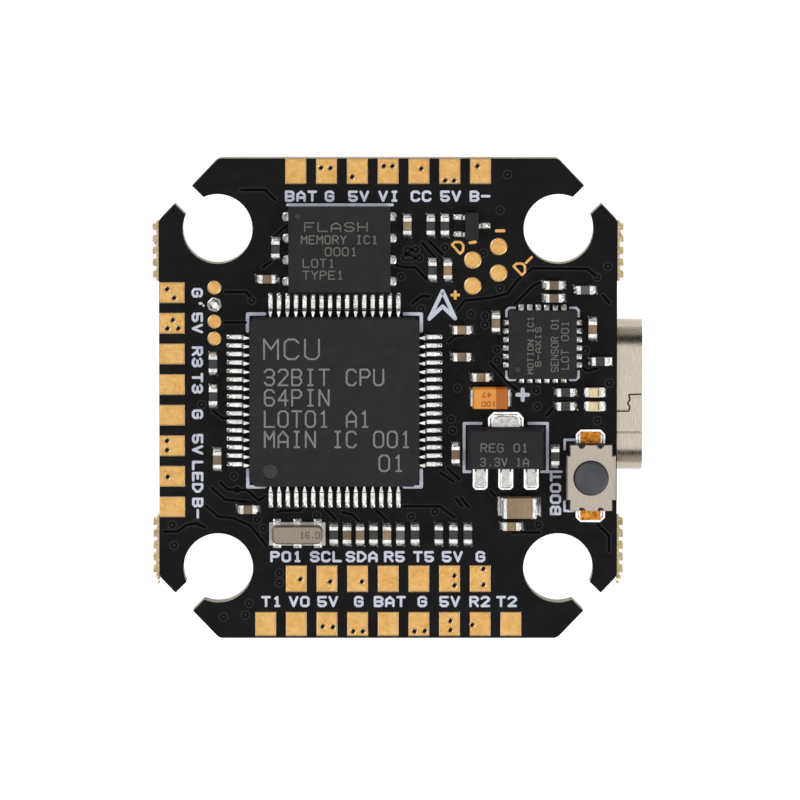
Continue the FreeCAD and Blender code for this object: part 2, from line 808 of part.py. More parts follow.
# ---------------------------------------------------------------- quad and leadless packages
def processor():
    exit_height = "(mcu_gap + mcu_high) / 2"
    body = moulded("mcu_body", "mcu_wide", "mcu_wide", "mcu_gap", exit_height, "mcu_high",
                   "mcu_lead_thick", "mcu_corner")
    dimple(body, "-mcu_dimple_at + mcu_dimple_shift", "-mcu_dimple_at", "mcu_dimple", "mcu_high")
    leads = new_body("mcu_leads")
    first = "-(mcu_count - 1) / 2 * mcu_pitch"
    gull_lead(leads, "mcu_wide / 2", "mcu_span", "mcu_foot", "mcu_lead_thick", "mcu_lead_wide",
              exit_height, first)
    row(leads, "Y_Axis", "mcu_count", "mcu_pitch")
    ring(leads, 4)
    lands = block("mcu_lands", "(mcu_land_span - mcu_span) / 2 + mcu_foot + 2 * heel_room", "mcu_land_wide",
                  "land_thick", x="mcu_land_span / 4 + mcu_span / 4 - mcu_foot / 2 - heel_room",
                  y=first)
    row(lands, "Y_Axis", "mcu_count", "mcu_pitch")
    ring(lands, 4)
    put_top(body, "mcu")
    put_top(leads, "mcu")
    return [put_top(lands, "mcu", "board_thick")]


def side_terminals(label, wide, deep, pad_wide, count, pitch, high, sides, z="0", out="0"):
    """Terminals let into the rim of a package, on two sides or on four."""
    body = block(label, f"({deep}) + ({out})", pad_wide, high,
                 x=f"({wide}) / 2 - ({deep}) / 2 + ({out}) / 2",
                 y=f"-({count} - 1) / 2 * {pitch}", z=z)
    row(body, "Y_Axis", count, pitch)
    ring(body, sides)
    return body


def leadless(name, wide, long, sides):
    """A saw-cut package with its terminals flush in the rim, and its lands."""
    deep, pad_wide = f"{name}_pad_deep", f"{name}_pad_wide"
    count, pitch, high = f"{name}_count", f"{name}_pitch", f"{name}_high"
    drawn = side_terminals(f"{name}_terminal_ring", wide, deep, pad_wide, count, pitch,
                           "terminal_thick", sides)
    blank = block(f"{name}_blank", wide, long, high)
    dimple(blank, f"-({wide}) / 2 + mark_inset", f"({long}) / 2 - mark_inset", "mark_radius", high)
    lands = side_terminals(f"{name}_lands", wide, deep, f"{pad_wide} + land_margin", count, pitch,
                           "land_thick", sides, out=f"{name}_land_out")
    put_top(cut(f"{name}_body", blank, drawn), name)
    put_top(group(f"{name}_terminals", [drawn]), name)
    return [put_top(lands, name, "board_thick")]


# ---------------------------------------------------------------- small packages
def wrap_terminals(label, long, wide, thick, high, foot):
    """Two bent strips that climb the ends of a block and fold under it."""
    body = new_body(label)
    sketch = new_sketch(body, label + "_bend", plane="XZ_Plane")
    end = f"({long}) / 2"
    polygon(sketch, [
        (f"{end} - ({foot})", "0"), (end, "0"), (end, high), (f"{end} - ({thick})", high),
        (f"{end} - ({thick})", thick), (f"{end} - ({foot})", thick),
    ])
    pad(body, sketch, wide, side="Symmetric")
    ring(body, 2)
    return body


def end_lands(label, long, end, out, wide):
    """The two soldered lands under the ends of a block."""
    body = block(label, f"({end}) + ({out})", wide, "land_thick",
                 x=f"({long}) / 2 + (({out}) - ({end})) / 2")
    ring(body, 2)
    return body


def regulator():
    blank = moulded("reg_blank", "reg_wide", "reg_long", None, "reg_lead_thick / 2", "reg_high",
                    "reg_lead_thick")
    metal = new_body("reg_metal")
    back, inner = "reg_long / 2 + reg_lead_out", "reg_long / 2 - reg_lead_in"
    sketch = new_sketch(metal, "reg_metal_outline")
    for x in ("-reg_pitch", "reg_pitch"):
        rectangle(sketch, x, f"-({back} + {inner}) / 2", "reg_lead_wide", "reg_lead_out + reg_lead_in")
    lead, tab, tip = "reg_lead_wide / 2", "reg_tab_wide / 2", "reg_long / 2 + reg_tab_out"
    polygon(sketch, [
        (f"-{lead}", f"-({back})"), (lead, f"-({back})"), (lead, f"-({inner})"),
        (tab, f"-({inner})"), (tab, tip), (f"-{tab}", tip),
        (f"-{tab}", f"-({inner})"), (f"-{lead}", f"-({inner})"),
    ])
    plate = pad(metal, sketch, "reg_lead_thick")
    front = worth("reg_long / 2")
    round_edges(metal, plate, "reg_tab_out * 0.9",
                lambda edge: upright(edge) and edge.BoundBox.YMin > front)
    lands = new_body("reg_lands")
    outline = new_sketch(lands, "reg_land_outline")
    grow = "reg_land_grow"
    for x in ("-reg_pitch", "0", "reg_pitch"):
        rectangle(outline, x, f"-reg_long / 2 - reg_lead_out / 2 - {grow} / 2",
                  f"reg_lead_wide + 2 * {grow} - land_margin", f"reg_lead_out + {grow}")
    rectangle(outline, "0", f"reg_long / 2 + ({grow} + reg_tab_out - reg_lead_in) / 2",
              f"reg_tab_wide + 2 * {grow}", f"reg_tab_out + {grow} + reg_lead_in")
    plate = pad(lands, outline, "land_thick")
    edge_y = worth(f"reg_long / 2 + reg_tab_out + {grow}") - 0.01
    round_edges(lands, plate, "reg_tab_out",
                lambda edge: upright(edge) and edge.BoundBox.YMin > edge_y)
    put_top(cut("regulator_body", blank, metal), "regulator")
    put_top(group("regulator_leads", [metal]), "regulator")
    return [put_top(lands, "regulator", "board_thick")]


def tantalum():
    body = moulded("tantalum_body", "tant_long - 2 * tant_strip", "tant_wide", "tant_strip",
                   "tant_strip_high * 0.9", "tant_high", "tant_strip")
    ends = wrap_terminals("tantalum_terminals", "tant_long", "tant_strip_wide", "tant_strip",
                          "tant_strip_high", "tant_foot")
    lands = end_lands("tant_lands", "tant_long", "tant_foot", "tant_land_out",
                      "tant_strip_wide + 5 * land_margin")
    put_top(body, "tantalum")
    put_top(ends, "tantalum")
    return [put_top(lands, "tantalum", "board_thick")]


def block_chip(name, long, wide, high, end, rounding):
    """Drawings of a chip part: the ceramic between its ends, and the two plated ends."""
    inset = "chip_body_inset"
    core = block(f"{name}_core", f"{long} - 2 * {end}", f"{wide} - 2 * {inset}",
                 f"{high} - 2 * {inset}", z=inset)
    ends = new_body(f"{name}_end_pair")
    sketch = new_sketch(ends, f"{name}_end_outline")
    rectangle(sketch, f"({long} - {end}) / 2", "0", end, wide)
    plate = pad(ends, sketch, high)
    round_edges(ends, plate, rounding)
    ring(ends, 2)
    return core, ends


def chip_parts():
    """Every chip part on both sides; identical pieces share a node."""
    chip_land = end_lands("chip_lands", "chip_long", "chip_end", "chip_land_out", "chip_land_wide")
    bulk_land = end_lands("bulk_lands", "bulk_long", "bulk_end", "bulk_land_out",
                          "bulk_wide + land_margin")
    small = ("chip_long", "chip_wide")
    kinds = [
        ("chip_capacitor", *small, "chip_cap_high", "chip_end", "chip_round",
         TOP_CAPACITORS, UNDER_CAPACITORS, chip_land),
        ("chip_resistor", *small, "chip_res_high", "chip_end", "chip_round",
         TOP_RESISTORS, UNDER_RESISTORS, chip_land),
        ("ferrite_bead", *small, "chip_cap_high", "chip_end", "chip_round",
         TOP_FERRITES, {}, chip_land),
        ("bulk_capacitor", "bulk_long", "bulk_wide", "bulk_high", "bulk_end", "bulk_round",
         TOP_BULKS, UNDER_BULKS, bulk_land),
    ]
    lands = []
    for name, long, wide, high, end, rounding, above, below, land in kinds:
        core, ends = block_chip(name, long, wide, high, end, rounding)
        for drawing, label in ((core, f"{name}_bodies"), (ends, f"{name}_ends")):
            group(label, copies(drawing, above) + copies(drawing, below, under=True))
        lands += copies(land, above, height="0") + copies(land, below, under=True, height="0")
    return lands


def resonator():
    sides, count = 2, "reso_count"
    drawn = side_terminals("reso_terminal_row", "reso_wide", "reso_pad_deep", "reso_pad_wide",
                           count, "reso_pitch", "reso_base_high", sides)
    blank = block("reso_blank", "reso_wide", "reso_long", "reso_base_high")
    lid = new_body("resonator_lid")
    sketch = new_sketch(lid, "reso_lid_outline", height="reso_base_high")
    rectangle(sketch, "0", "0", "reso_lid_wide", "reso_lid_long")
    shell = pad(lid, sketch, "reso_lid_high")
    corners = round_edges(lid, shell, "reso_lid_round", upright)
    doc.recompute()
    top = worth("reso_base_high + reso_lid_high") - 1e-6
    round_edges(lid, corners, "reso_lid_round / 3", lambda edge: edge.BoundBox.ZMin > top)
    lands = side_terminals("reso_lands", "reso_wide", "reso_pad_deep", "reso_pad_wide + 2 * land_margin",
                           count, "reso_pitch", "land_thick", sides, out="reso_land_out")
    put_top(cut("resonator_base", blank, drawn), "resonator")
    put_top(group("resonator_terminals", [drawn]), "resonator")
    put_top(lid, "resonator")
    return [put_top(lands, "resonator", "board_thick")]


def transistor():
    exit_height = "tran_high * 0.5"
    body = moulded("transistor_body", "tran_wide", "tran_long", "tran_gap", exit_height, "tran_high",
                   "tran_lead_thick", "tran_corner")
    leads = []
    lands = []
    for name, offset, turn in (("pair", "-tran_pitch / 2", 180), ("single", "0", 0)):
        lead = new_body(f"tran_{name}")
        gull_lead(lead, "tran_wide / 2", "tran_span", "tran_foot", "tran_lead_thick",
                  "tran_lead_wide", exit_height, offset)
        land = block(f"tran_{name}_land", "tran_foot + land_past", "tran_lead_wide + 2 * land_margin",
                     "land_thick", x="tran_span / 2", y=offset)
        if name == "pair":
            row(lead, "Y_Axis", "tran_count", "tran_pitch")
            row(land, "Y_Axis", "tran_count", "tran_pitch")
        for item in (lead, land):
            turned = FreeCAD.Rotation(FreeCAD.Vector(0, 0, 1), turn)
            item.Placement = FreeCAD.Placement(FreeCAD.Vector(), turned)
        leads.append(lead)
        lands.append(land)
    put_top(body, "transistor")
    put_top(group("transistor_leads", leads), "transistor")
    return [put_top(group("tran_lands", lands), "transistor", "board_thick")]


def status_lamps():
    spots = {name: TOP_SPOTS[name] for name in ("lamp_blue", "lamp_amber")}
    base = block("lamp_base", "led_long - 2 * led_end", "led_wide", "led_base_high")
    lens = block("lamp_lens", "led_long - 2 * led_end", "led_wide", "led_high - led_base_high",
                 z="led_base_high", rounding="chip_round")
    ends = block("lamp_end", "led_end", "led_wide", "led_base_high",
                 x="(led_long - led_end) / 2")
    ring(ends, 2)
    land = end_lands("lamp_lands", "led_long", "led_end", "chip_land_out / 2", "led_wide + land_margin")
    group("lamp_bases", copies(base, spots))
    group("lamp_lenses", copies(lens, spots))
    group("lamp_terminals", copies(ends, spots))
    return copies(land, spots, height="0")


# ---------------------------------------------------------------- boot switch
FLANGE_LOW = "switch_case_high - button_slack - button_flange_thick"


def revolve(body, points, name):
    """Turn a half profile, drawn in the XZ plane, about the body's Z axis."""
    sketch = new_sketch(body, name, plane="XZ_Plane")
    polygon(sketch, points)
    feature = body.newObject("PartDesign::Revolution", "Turned")
    feature.Profile = sketch
    feature.ReferenceAxis = (sketch, ["V_Axis"])
    feature.Angle = 360
    return feature


def switch_cover():
    body = new_body("boot_cover")
    top, flap, end = "switch_cover_top_wide / 2", "switch_wide / 2", "switch_long / 2"
    side = "switch_flap_long / 2"
    sheet_metal = new_sketch(body, "cover_outline", height="switch_case_high")
    polygon(sheet_metal, [
        (f"-{top}", f"-{end}"), (top, f"-{end}"), (top, f"-{side}"), (flap, f"-{side}"),
        (flap, side), (top, side), (top, end), (f"-{top}", end),
        (f"-{top}", side), (f"-{flap}", side), (f"-{flap}", f"-{side}"), (f"-{top}", f"-{side}"),
    ])
    plate = pad(body, sheet_metal, "switch_cover_thick")
    edge_x = worth(flap) - 1e-6
    high = worth("switch_case_high + switch_cover_thick") - 1e-6
    bend = round_edges(
        body, plate, "switch_cover_thick * 0.8",
        lambda edge: edge.BoundBox.ZMin > high and
        (edge.BoundBox.XMin > edge_x or edge.BoundBox.XMax < -edge_x))
    doc.recompute()
    flaps = new_sketch(body, "cover_flaps", height="switch_case_high")
    for way in ("", "-"):
        rectangle(flaps, f"{way}({flap} - switch_cover_thick / 2)", "0", "switch_cover_thick",
                  "switch_flap_long")
    pad(body, flaps, "switch_flap_high", reverse=True)
    opening = new_sketch(body, "cover_opening", height="switch_case_high")
    circle(opening, "0", "0", "button_radius + button_clearance")
    for x in ("-switch_notch_at", "switch_notch_at"):
        for way in ("", "-"):
            circle(opening, x, f"{way}{end}", "switch_notch_radius")
    pocket(body, opening, "switch_cover_thick", reverse=True)
    return put_top(body, "switch")


def boot_switch():
    case = new_body("boot_case")
    outline = new_sketch(case, "case_outline")
    case_wide = "switch_wide - 2 * switch_cover_thick - 2 * switch_case_play"
    rectangle(outline, "0", "0", case_wide, "switch_long - 2 * switch_case_play")
    pad(case, outline, "switch_case_high")
    well = new_sketch(case, "case_well", height="switch_case_high")
    circle(well, "0", "0", "switch_well_radius")
    pocket(case, well, "switch_case_high - switch_well_floor")
    put_top(case, "switch")
    switch_cover()
    button = new_body("boot_button")
    flange, stem = "button_radius + button_flange_out", "button_radius"
    flange_top = "switch_case_high - button_slack"
    crown = "switch_case_high + switch_cover_thick + button_proud"
    ease = "button_flange_thick * 0.3"
    revolve(button, [
        ("0", FLANGE_LOW), (flange, FLANGE_LOW), (flange, flange_top), (stem, flange_top),
        (stem, f"{crown} - {ease}"), (f"{stem} - {ease} * 0.3", f"{crown} - {ease} * 0.3"),
        (f"{stem} - {ease}", crown), ("0", crown),
    ], "button_profile")
    put_top(button, "switch")
    dome = new_body("boot_dome")
    rim, floor = "(switch_well_radius - button_clearance)", "switch_well_floor"
    peak = f"{FLANGE_LOW} - button_slack"
    rise = f"({peak} - {floor})"
    revolve(dome, [
        (f"{rim} - dome_thick", floor), (rim, floor),
        (f"{rim} * 0.72", f"{floor} + {rise} * 0.62"), (f"{rim} * 0.4", f"{floor} + {rise} * 0.9"),
        (f"{rim} * 0.2", peak), ("0", peak), ("0", f"{peak} - dome_thick"),
        (f"{rim} * 0.2", f"{peak} - dome_thick"),
        (f"{rim} * 0.38", f"{floor} + {rise} * 0.9 - dome_thick"),
        (f"{rim} * 0.68", f"{floor} + {rise} * 0.62 - dome_thick"),
    ], "dome_profile")
    put_top(dome, "switch")
    half = "switch_long / 2 - switch_case_play"
    strips = block("boot_terminals", "switch_strip_wide", "switch_strip_out",
                   "switch_strip_thick", y=f"{half} + switch_strip_out / 2")
    ring(strips, 2)
    put_top(strips, "switch")
    lands = new_body("switch_lands")
    sketch = new_sketch(lands, "switch_land_outline")
    outer, across = "switch_land_span / 2", "switch_land_wide / 2"
    inner, trim = f"{outer} - switch_land_long", "switch_land_cut"
    polygon(sketch, [
        (f"-{across}", inner), (across, inner), (across, f"{outer} - {trim}"),
        (f"{across} - {trim}", outer), (f"-{across} + {trim}", outer),
        (f"-{across}", f"{outer} - {trim}"),
    ])
    pad(lands, sketch, "land_thick")
    ring(lands, 2)
    return [put_top(lands, "switch", "board_thick")]


# ---------------------------------------------------------------- underside sockets
def put_socket(item, x, y, height="-land_thick"):
    """Turn a socket over onto the underside at a place worked out from the board's edges."""
    item.Placement = FreeCAD.Placement(
        FreeCAD.Vector(), FreeCAD.Rotation(FreeCAD.Vector(1, 0, 0), 180))
    lay(item, x, y, height)
    return item


def put_usb(item, height="-land_thick"):
    return put_socket(item, "board_width / 2 + usb_proud", "0", height)


def put_esc(item, height="-land_thick"):
    return put_socket(item, "0", "-board_length / 2 + esc_edge_inset", height)


def usb_shell():
    """Folded shell, with the mouth at x = 0; the seams are cut in the side against the board."""
    body = new_body("usb_shell")
    middle = "usb_high / 2"
    outer = new_sketch(body, "usb_outer", plane="YZ_Plane")
    stadium(outer, "usb_wide", "usb_high", middle)
    pad(body, outer, "usb_deep", reverse=True)
    inner = new_sketch(body, "usb_inner", plane="YZ_Plane")
    stadium(inner, "usb_wide - 2 * usb_wall", "usb_high - 2 * usb_wall", middle)
    pocket(body, inner, "usb_deep")
    feet = new_sketch(body, "usb_feet")
    for x in ("-usb_proud - usb_foot_front", "-usb_deep + usb_foot_rear"):
        for way in ("", "-"):
            rectangle(feet, x, f"{way}(usb_wide / 2 - usb_foot_in)", "usb_foot_wide",
                      "usb_foot_long")
    pad(body, feet, "usb_wall * 0.8")
    seams = new_sketch(body, "usb_seams")
    half, low, high = "usb_seam_wide / 2", "-usb_seam_y", "-(usb_seam_y + usb_seam_step)"
    start, bend = "-usb_proud - 0.6", "-usb_seam_x"
    polygon(seams, [
        (start, f"{low} - {half}"), (f"{bend} - {half}", f"{low} - {half}"),
        (f"{bend} - {half}", f"{high} - {half}"), ("usb_seam_wide", f"{high} - {half}"),
        ("usb_seam_wide", f"{high} + {half}"), (f"{bend} + {half}", f"{high} + {half}"),
        (f"{bend} + {half}", f"{low} + {half}"), (start, f"{low} + {half}"),
    ])
    rectangle(seams, "-usb_proud / 2", "-usb_fold_y", "usb_proud + 1", "usb_seam_wide / 2")
    pocket(body, seams, "usb_seam_deep", reverse=True)
    return put_usb(body)


def usb_socket():
    usb_shell()
    middle = "usb_high / 2"
    housing = new_body("usb_housing")
    sketch = new_sketch(housing, "usb_housing_outline", plane="YZ_Plane", height="-usb_deep")
    stadium(sketch, "usb_wide - 2 * usb_wall", "usb_high - 2 * usb_wall", middle)
    pad(housing, sketch, "usb_rear_deep")
    put_usb(housing)
    root, tip = "-(usb_deep - usb_rear_deep)", "-usb_tongue_recess"
    blank = block("usb_tongue_blank", f"{tip} - ({root})", "usb_tongue_wide", "usb_tongue_thick",
                  x=f"({tip} + {root}) / 2", z=f"{middle} - usb_tongue_thick / 2")
    end = f"{tip} - usb_contact_recess"
    first = "-(usb_count - 1) / 2 * usb_pitch"
    strips = []
    for name, z in (("near", f"{middle} - usb_tongue_thick / 2"),
                    ("far", f"{middle} + usb_tongue_thick / 2 - usb_contact_thick")):
        strip = block(f"usb_strip_{name}", f"{end} - ({root})", "usb_contact_wide",
                      "usb_contact_thick", x=f"({end} + {root}) / 2", y=first, z=z)
        row(strip, "Y_Axis", "usb_count", "usb_pitch")
        strips.append(strip)
    tails = block("usb_tails", "usb_tail_long", "usb_contact_wide", "usb_contact_thick",
                  x="-usb_deep - usb_tail_long / 2", y=first)
    row(tails, "Y_Axis", "usb_count", "usb_pitch")
    put_usb(cut("usb_tongue", blank, group("usb_strips", strips)))
    put_usb(group("usb_contacts", strips + [tails]))
    tail_lands = block("usb_tail_lands", "usb_tail_long + land_past", "usb_contact_wide + land_margin",
                       "land_thick", x="-usb_deep - usb_tail_long / 2 - heel_room", y=first)
    row(tail_lands, "Y_Axis", "usb_count", "usb_pitch")
    foot_lands = new_body("usb_foot_lands")
    outline = new_sketch(foot_lands, "usb_foot_land_outline")
    for x in ("-usb_proud - usb_foot_front", "-usb_deep + usb_foot_rear"):
        for way in ("", "-"):
            rectangle(outline, x, f"{way}(usb_wide / 2 - usb_foot_in / 2)",
                      "usb_foot_wide + land_past", "usb_foot_long")
    pad(foot_lands, outline, "land_thick")
    return [put_usb(lands, "0") for lands in (tail_lands, foot_lands)]


def esc_socket():
    """Eight-way side-entry socket, with the mouth at y = 0 and the board side at z = 0."""
    blank = new_body("esc_blank")
    outline = new_sketch(blank, "esc_outline")
    rectangle(outline, "0", "-esc_deep / 2", "esc_wide", "esc_deep")
    pad(blank, outline, "esc_high")
    mouth = new_sketch(blank, "esc_mouth", plane="XZ_Plane")
    rectangle(mouth, "0", "esc_high / 2", "esc_wide - 2 * esc_wall", "esc_high - 2 * esc_wall")
    pocket(blank, mouth, "esc_deep - esc_floor", reverse=True)
    pins = new_body("esc_pin_row")
    first = "-(esc_count - 1) / 2 * esc_pitch"
    profile = new_sketch(pins, "esc_pin_bend", plane="YZ_Plane", height=first)
    back, low = "-esc_deep", "esc_pin_height - esc_pin / 2"
    tip = f"-esc_deep + esc_floor + esc_pin_reach"
    polygon(profile, [
        (f"{back} - esc_tail_long", "0"), (back, "0"), (back, low), (tip, low),
        (tip, f"{low} + esc_pin"), (f"{back} - esc_pin", f"{low} + esc_pin"),
        (f"{back} - esc_pin", "esc_pin"), (f"{back} - esc_tail_long", "esc_pin"),
    ])
    pad(pins, profile, "esc_pin", side="Symmetric")
    row(pins, "X_Axis", "esc_count", "esc_pitch")
    tabs = new_body("esc_tabs")
    feet = new_sketch(tabs, "esc_tab_outline")
    lands = new_body("esc_lands")
    under = new_sketch(lands, "esc_land_outline")
    for way in ("", "-"):
        x = f"{way}(esc_wide / 2 + esc_tab_wide / 2)"
        rectangle(feet, x, "-esc_deep / 2", "esc_tab_wide", "esc_tab_long")
        rectangle(under, x, "-esc_deep / 2", "esc_tab_wide", "esc_tab_long + land_past")
    pad(tabs, feet, "esc_pin")
    pad(lands, under, "land_thick")
    tail_lands = block("esc_tail_lands", "esc_pin * 2", "esc_tail_long + land_past", "land_thick",
                       x=first, y=f"{back} - esc_tail_long / 2 - heel_room")
    row(tail_lands, "X_Axis", "esc_count", "esc_pitch")
    put_esc(cut("esc_socket_housing", blank, pins))
    put_esc(group("esc_socket_pins", [pins]))
    put_esc(group("esc_socket_tabs", [tabs]))
    return [put_esc(item, "0") for item in (lands, tail_lands)]


# ---------------------------------------------------------------- underside packages
def gull_package(label, name, wide, long):
    """A two-sided moulded package with bent leads, turned over onto the underside."""
    exit_height = f"{name}_high * 0.55"
    body = moulded(f"{label}_body", wide, long, "mcu_gap", exit_height, f"{name}_high",
                   "mcu_lead_thick")
    dimple(body, f"-({wide}) / 2 + mark_inset", f"({long}) / 2 - mark_inset", "mark_radius", f"{name}_high")
    leads = new_body(f"{label}_leads")
    first = f"-({name}_count - 1) / 2 * {name}_pitch"
    gull_lead(leads, f"({wide}) / 2", f"{name}_span", f"{name}_foot", "mcu_lead_thick",
              f"{name}_lead_wide", exit_height, first)
    row(leads, "Y_Axis", f"{name}_count", f"{name}_pitch")
    ring(leads, 2)
    lands = block(f"{name}_lands", f"{name}_foot + land_past", f"{name}_lead_wide + land_margin",
                  "land_thick", x=f"{name}_span / 2 - {name}_foot / 2 + heel_room", y=first)
    row(lands, "Y_Axis", f"{name}_count", f"{name}_pitch")
    ring(lands, 2)
    put_under(body, name)
    put_under(leads, name)
    return [put_under(lands, name, "0")]


def crystal():
    base = block("crystal_base", "xtal_long", "xtal_wide", "xtal_base_high",
                 rounding="chip_round")
    lid = block("crystal_lid", "xtal_long - 2 * xtal_lid_inset", "xtal_wide - 2 * xtal_lid_inset",
                "xtal_lid_high", z="xtal_base_high", rounding="chip_round")
    lands = new_body("xtal_lands")
    sketch = new_sketch(lands, "xtal_land_outline")
    for across in ("", "-"):
        for along in ("", "-"):
            rectangle(sketch, f"{across}(xtal_long - xtal_pad) / 2",
                      f"{along}(xtal_wide - xtal_pad) / 2", "xtal_pad + land_past / 2",
                      "xtal_pad + land_past / 2")
    pad(lands, sketch, "land_thick")
    put_under(base, "xtal")
    put_under(lid, "xtal")
    return [put_under(lands, "xtal", "0")]


def inductor():
    core = new_body("inductor_core")
    sketch = new_sketch(core, "inductor_outline", height="coil_end_thick")
    half, trim = "coil_wide / 2", "coil_wide / 2 - coil_corner"
    polygon(sketch, [
        (f"-{half}", f"-({trim})"), (f"-({trim})", f"-{half}"), (trim, f"-{half}"),
        (half, f"-({trim})"), (half, trim), (trim, half), (f"-({trim})", half),
        (f"-{half}", trim),
    ])
    plate = pad(core, sketch, "coil_high - coil_end_thick")
    high = worth("coil_high") - 1e-6
    round_edges(core, plate, "coil_round", lambda edge: edge.BoundBox.ZMin > high)
    ends = wrap_terminals("inductor_terminals", "coil_wide + 2 * coil_end_thick", "coil_end_wide",
                          "coil_end_thick", "coil_high / 2", "coil_foot")
    lands = end_lands("coil_lands", "coil_wide + 2 * coil_end_thick", "coil_foot",
                      "chip_land_out", "coil_end_wide + land_past")
    put_under(core, "coil")
    put_under(ends, "coil")
    return [put_under(lands, "coil", "0")]


# ---------------------------------------------------------------- the whole board
NODES = [
    "circuit_board", "edge_pads", "inner_pads", "round_pads", "solder_lands",
    "mcu_body", "mcu_leads", "flash_body", "flash_terminals", "gyro_body", "gyro_terminals",
    "regulator_body", "regulator_leads", "tantalum_body", "tantalum_terminals",
    "chip_capacitor_bodies", "chip_capacitor_ends", "chip_resistor_bodies",
    "chip_resistor_ends", "ferrite_bead_bodies", "ferrite_bead_ends",
    "bulk_capacitor_bodies", "bulk_capacitor_ends",
    "resonator_base", "resonator_lid", "resonator_terminals",
    "transistor_body", "transistor_leads", "lamp_bases", "lamp_lenses", "lamp_terminals",
    "boot_case", "boot_cover", "boot_button", "boot_dome", "boot_terminals",
    "usb_shell", "usb_housing", "usb_tongue", "usb_contacts",
    "esc_socket_housing", "esc_socket_pins", "esc_socket_tabs",
    "osd_chip_body", "osd_chip_leads", "crystal_base", "crystal_lid",
    "buck_chip_body", "buck_chip_leads", "inductor_core", "inductor_terminals",
]


def build():
    fill_sheet()
    circuit_board()
    gold_lands()
    lands = processor()
    lands += leadless("flash", "flash_wide", "flash_long", 2)
    lands += leadless("gyro", "gyro_wide", "gyro_wide", 4)
    lands += regulator() + tantalum() + chip_parts() + resonator() + transistor()
    lands += status_lamps() + boot_switch() + usb_socket() + esc_socket()
    lands += gull_package("osd_chip", "osd", "osd_wide", "osd_long")
    lands += gull_package("buck_chip", "buck", "buck_wide", "buck_long")
    lands += crystal() + inductor()
    group("solder_lands", lands)
    doc.recompute()


def check():
    """Stop before anything is written if a feature or a shape is not sound."""
    faults = []
    for item in doc.Objects:
        if {"Invalid", "Error"} & set(item.State):
            faults.append(f"{item.Label}: {item.State}")
    for label in NODES:
        shape = doc.getObjectsByLabel(label)[0].Shape
        if shape.isNull() or not shape.isValid() or not shape.Solids:
            faults.append(f"{label}: bad shape")
    if faults:
        raise RuntimeError("; ".join(faults))


def write():
    os.makedirs("parts", exist_ok=True)
    for label in NODES:
        shape = doc.getObjectsByLabel(label)[0].Shape
        shape.exportStep(f"parts/{label}.step")
        box = shape.BoundBox
        print(f"{label}: {len(shape.Solids)} solids, {shape.Volume:.3f} mm3, "
              f"z {box.ZMin:.2f} to {box.ZMax:.2f}")


build()
check()
write()
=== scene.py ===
# %% [markdown]
# # A flight controller board, dressed for its picture
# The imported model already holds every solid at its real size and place. This script keeps those solids,
# gives each one a finish worked out from what it is made of, and adds what a machinist's model leaves out:
# solder, printed legends, copper relief under the mask, laser marks and the torn edges of the panel.
# Lengths in the script are millimetres; the frame itself is in metres, so MM turns one into the other.

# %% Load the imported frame
import math
import random
from collections import namedtuple

import bmesh
import bpy
from mathutils import Matrix, Vector


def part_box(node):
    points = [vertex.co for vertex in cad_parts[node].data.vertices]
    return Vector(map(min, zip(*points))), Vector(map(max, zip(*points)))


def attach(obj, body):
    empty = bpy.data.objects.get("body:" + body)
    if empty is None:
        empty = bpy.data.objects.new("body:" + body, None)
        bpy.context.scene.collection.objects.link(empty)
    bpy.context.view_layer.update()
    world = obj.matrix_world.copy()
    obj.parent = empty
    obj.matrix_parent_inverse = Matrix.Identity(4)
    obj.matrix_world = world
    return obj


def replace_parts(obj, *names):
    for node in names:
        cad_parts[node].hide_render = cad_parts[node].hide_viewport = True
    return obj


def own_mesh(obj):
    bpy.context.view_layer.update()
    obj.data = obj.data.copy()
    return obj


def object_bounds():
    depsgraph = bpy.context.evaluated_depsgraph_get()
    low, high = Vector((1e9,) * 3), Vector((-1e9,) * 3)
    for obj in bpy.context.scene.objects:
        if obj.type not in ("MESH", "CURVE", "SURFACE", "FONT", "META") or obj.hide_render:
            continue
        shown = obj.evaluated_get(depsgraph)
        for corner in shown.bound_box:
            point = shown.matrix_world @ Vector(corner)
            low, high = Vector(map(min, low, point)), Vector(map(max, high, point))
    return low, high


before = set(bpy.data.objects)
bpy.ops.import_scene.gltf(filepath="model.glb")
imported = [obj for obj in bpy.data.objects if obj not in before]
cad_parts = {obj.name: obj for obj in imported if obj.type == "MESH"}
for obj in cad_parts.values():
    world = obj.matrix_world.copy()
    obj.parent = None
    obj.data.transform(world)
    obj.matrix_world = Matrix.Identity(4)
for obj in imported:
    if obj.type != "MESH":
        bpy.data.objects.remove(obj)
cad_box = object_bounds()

MM = 0.001
ROOT = "board"


# %% Read places from the frame
def box_mm(node):
    """Lowest and highest corner of a CAD node, in millimetres."""
    low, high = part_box(node)
    return Vector(low) / MM, Vector(high) / MM


def centre_mm(node):
    low, high = box_mm(node)
    return (low + high) / 2


def merged_copy(node):
    """A bmesh of a CAD node with its loose triangles joined."""
    bm = bmesh.new()
    bm.from_mesh(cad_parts[node].data)
    bmesh.ops.remove_doubles(bm, verts=bm.verts, dist=0.0005 * MM)
    return bm


def to_mm(bm):
    bmesh.ops.scale(bm, vec=(1 / MM, 1 / MM, 1 / MM), verts=bm.verts)


def copy_mm(node):
    """The same copy, in the millimetres that new pieces are drawn in."""
    bm = merged_copy(node)
    to_mm(bm)
    return bm


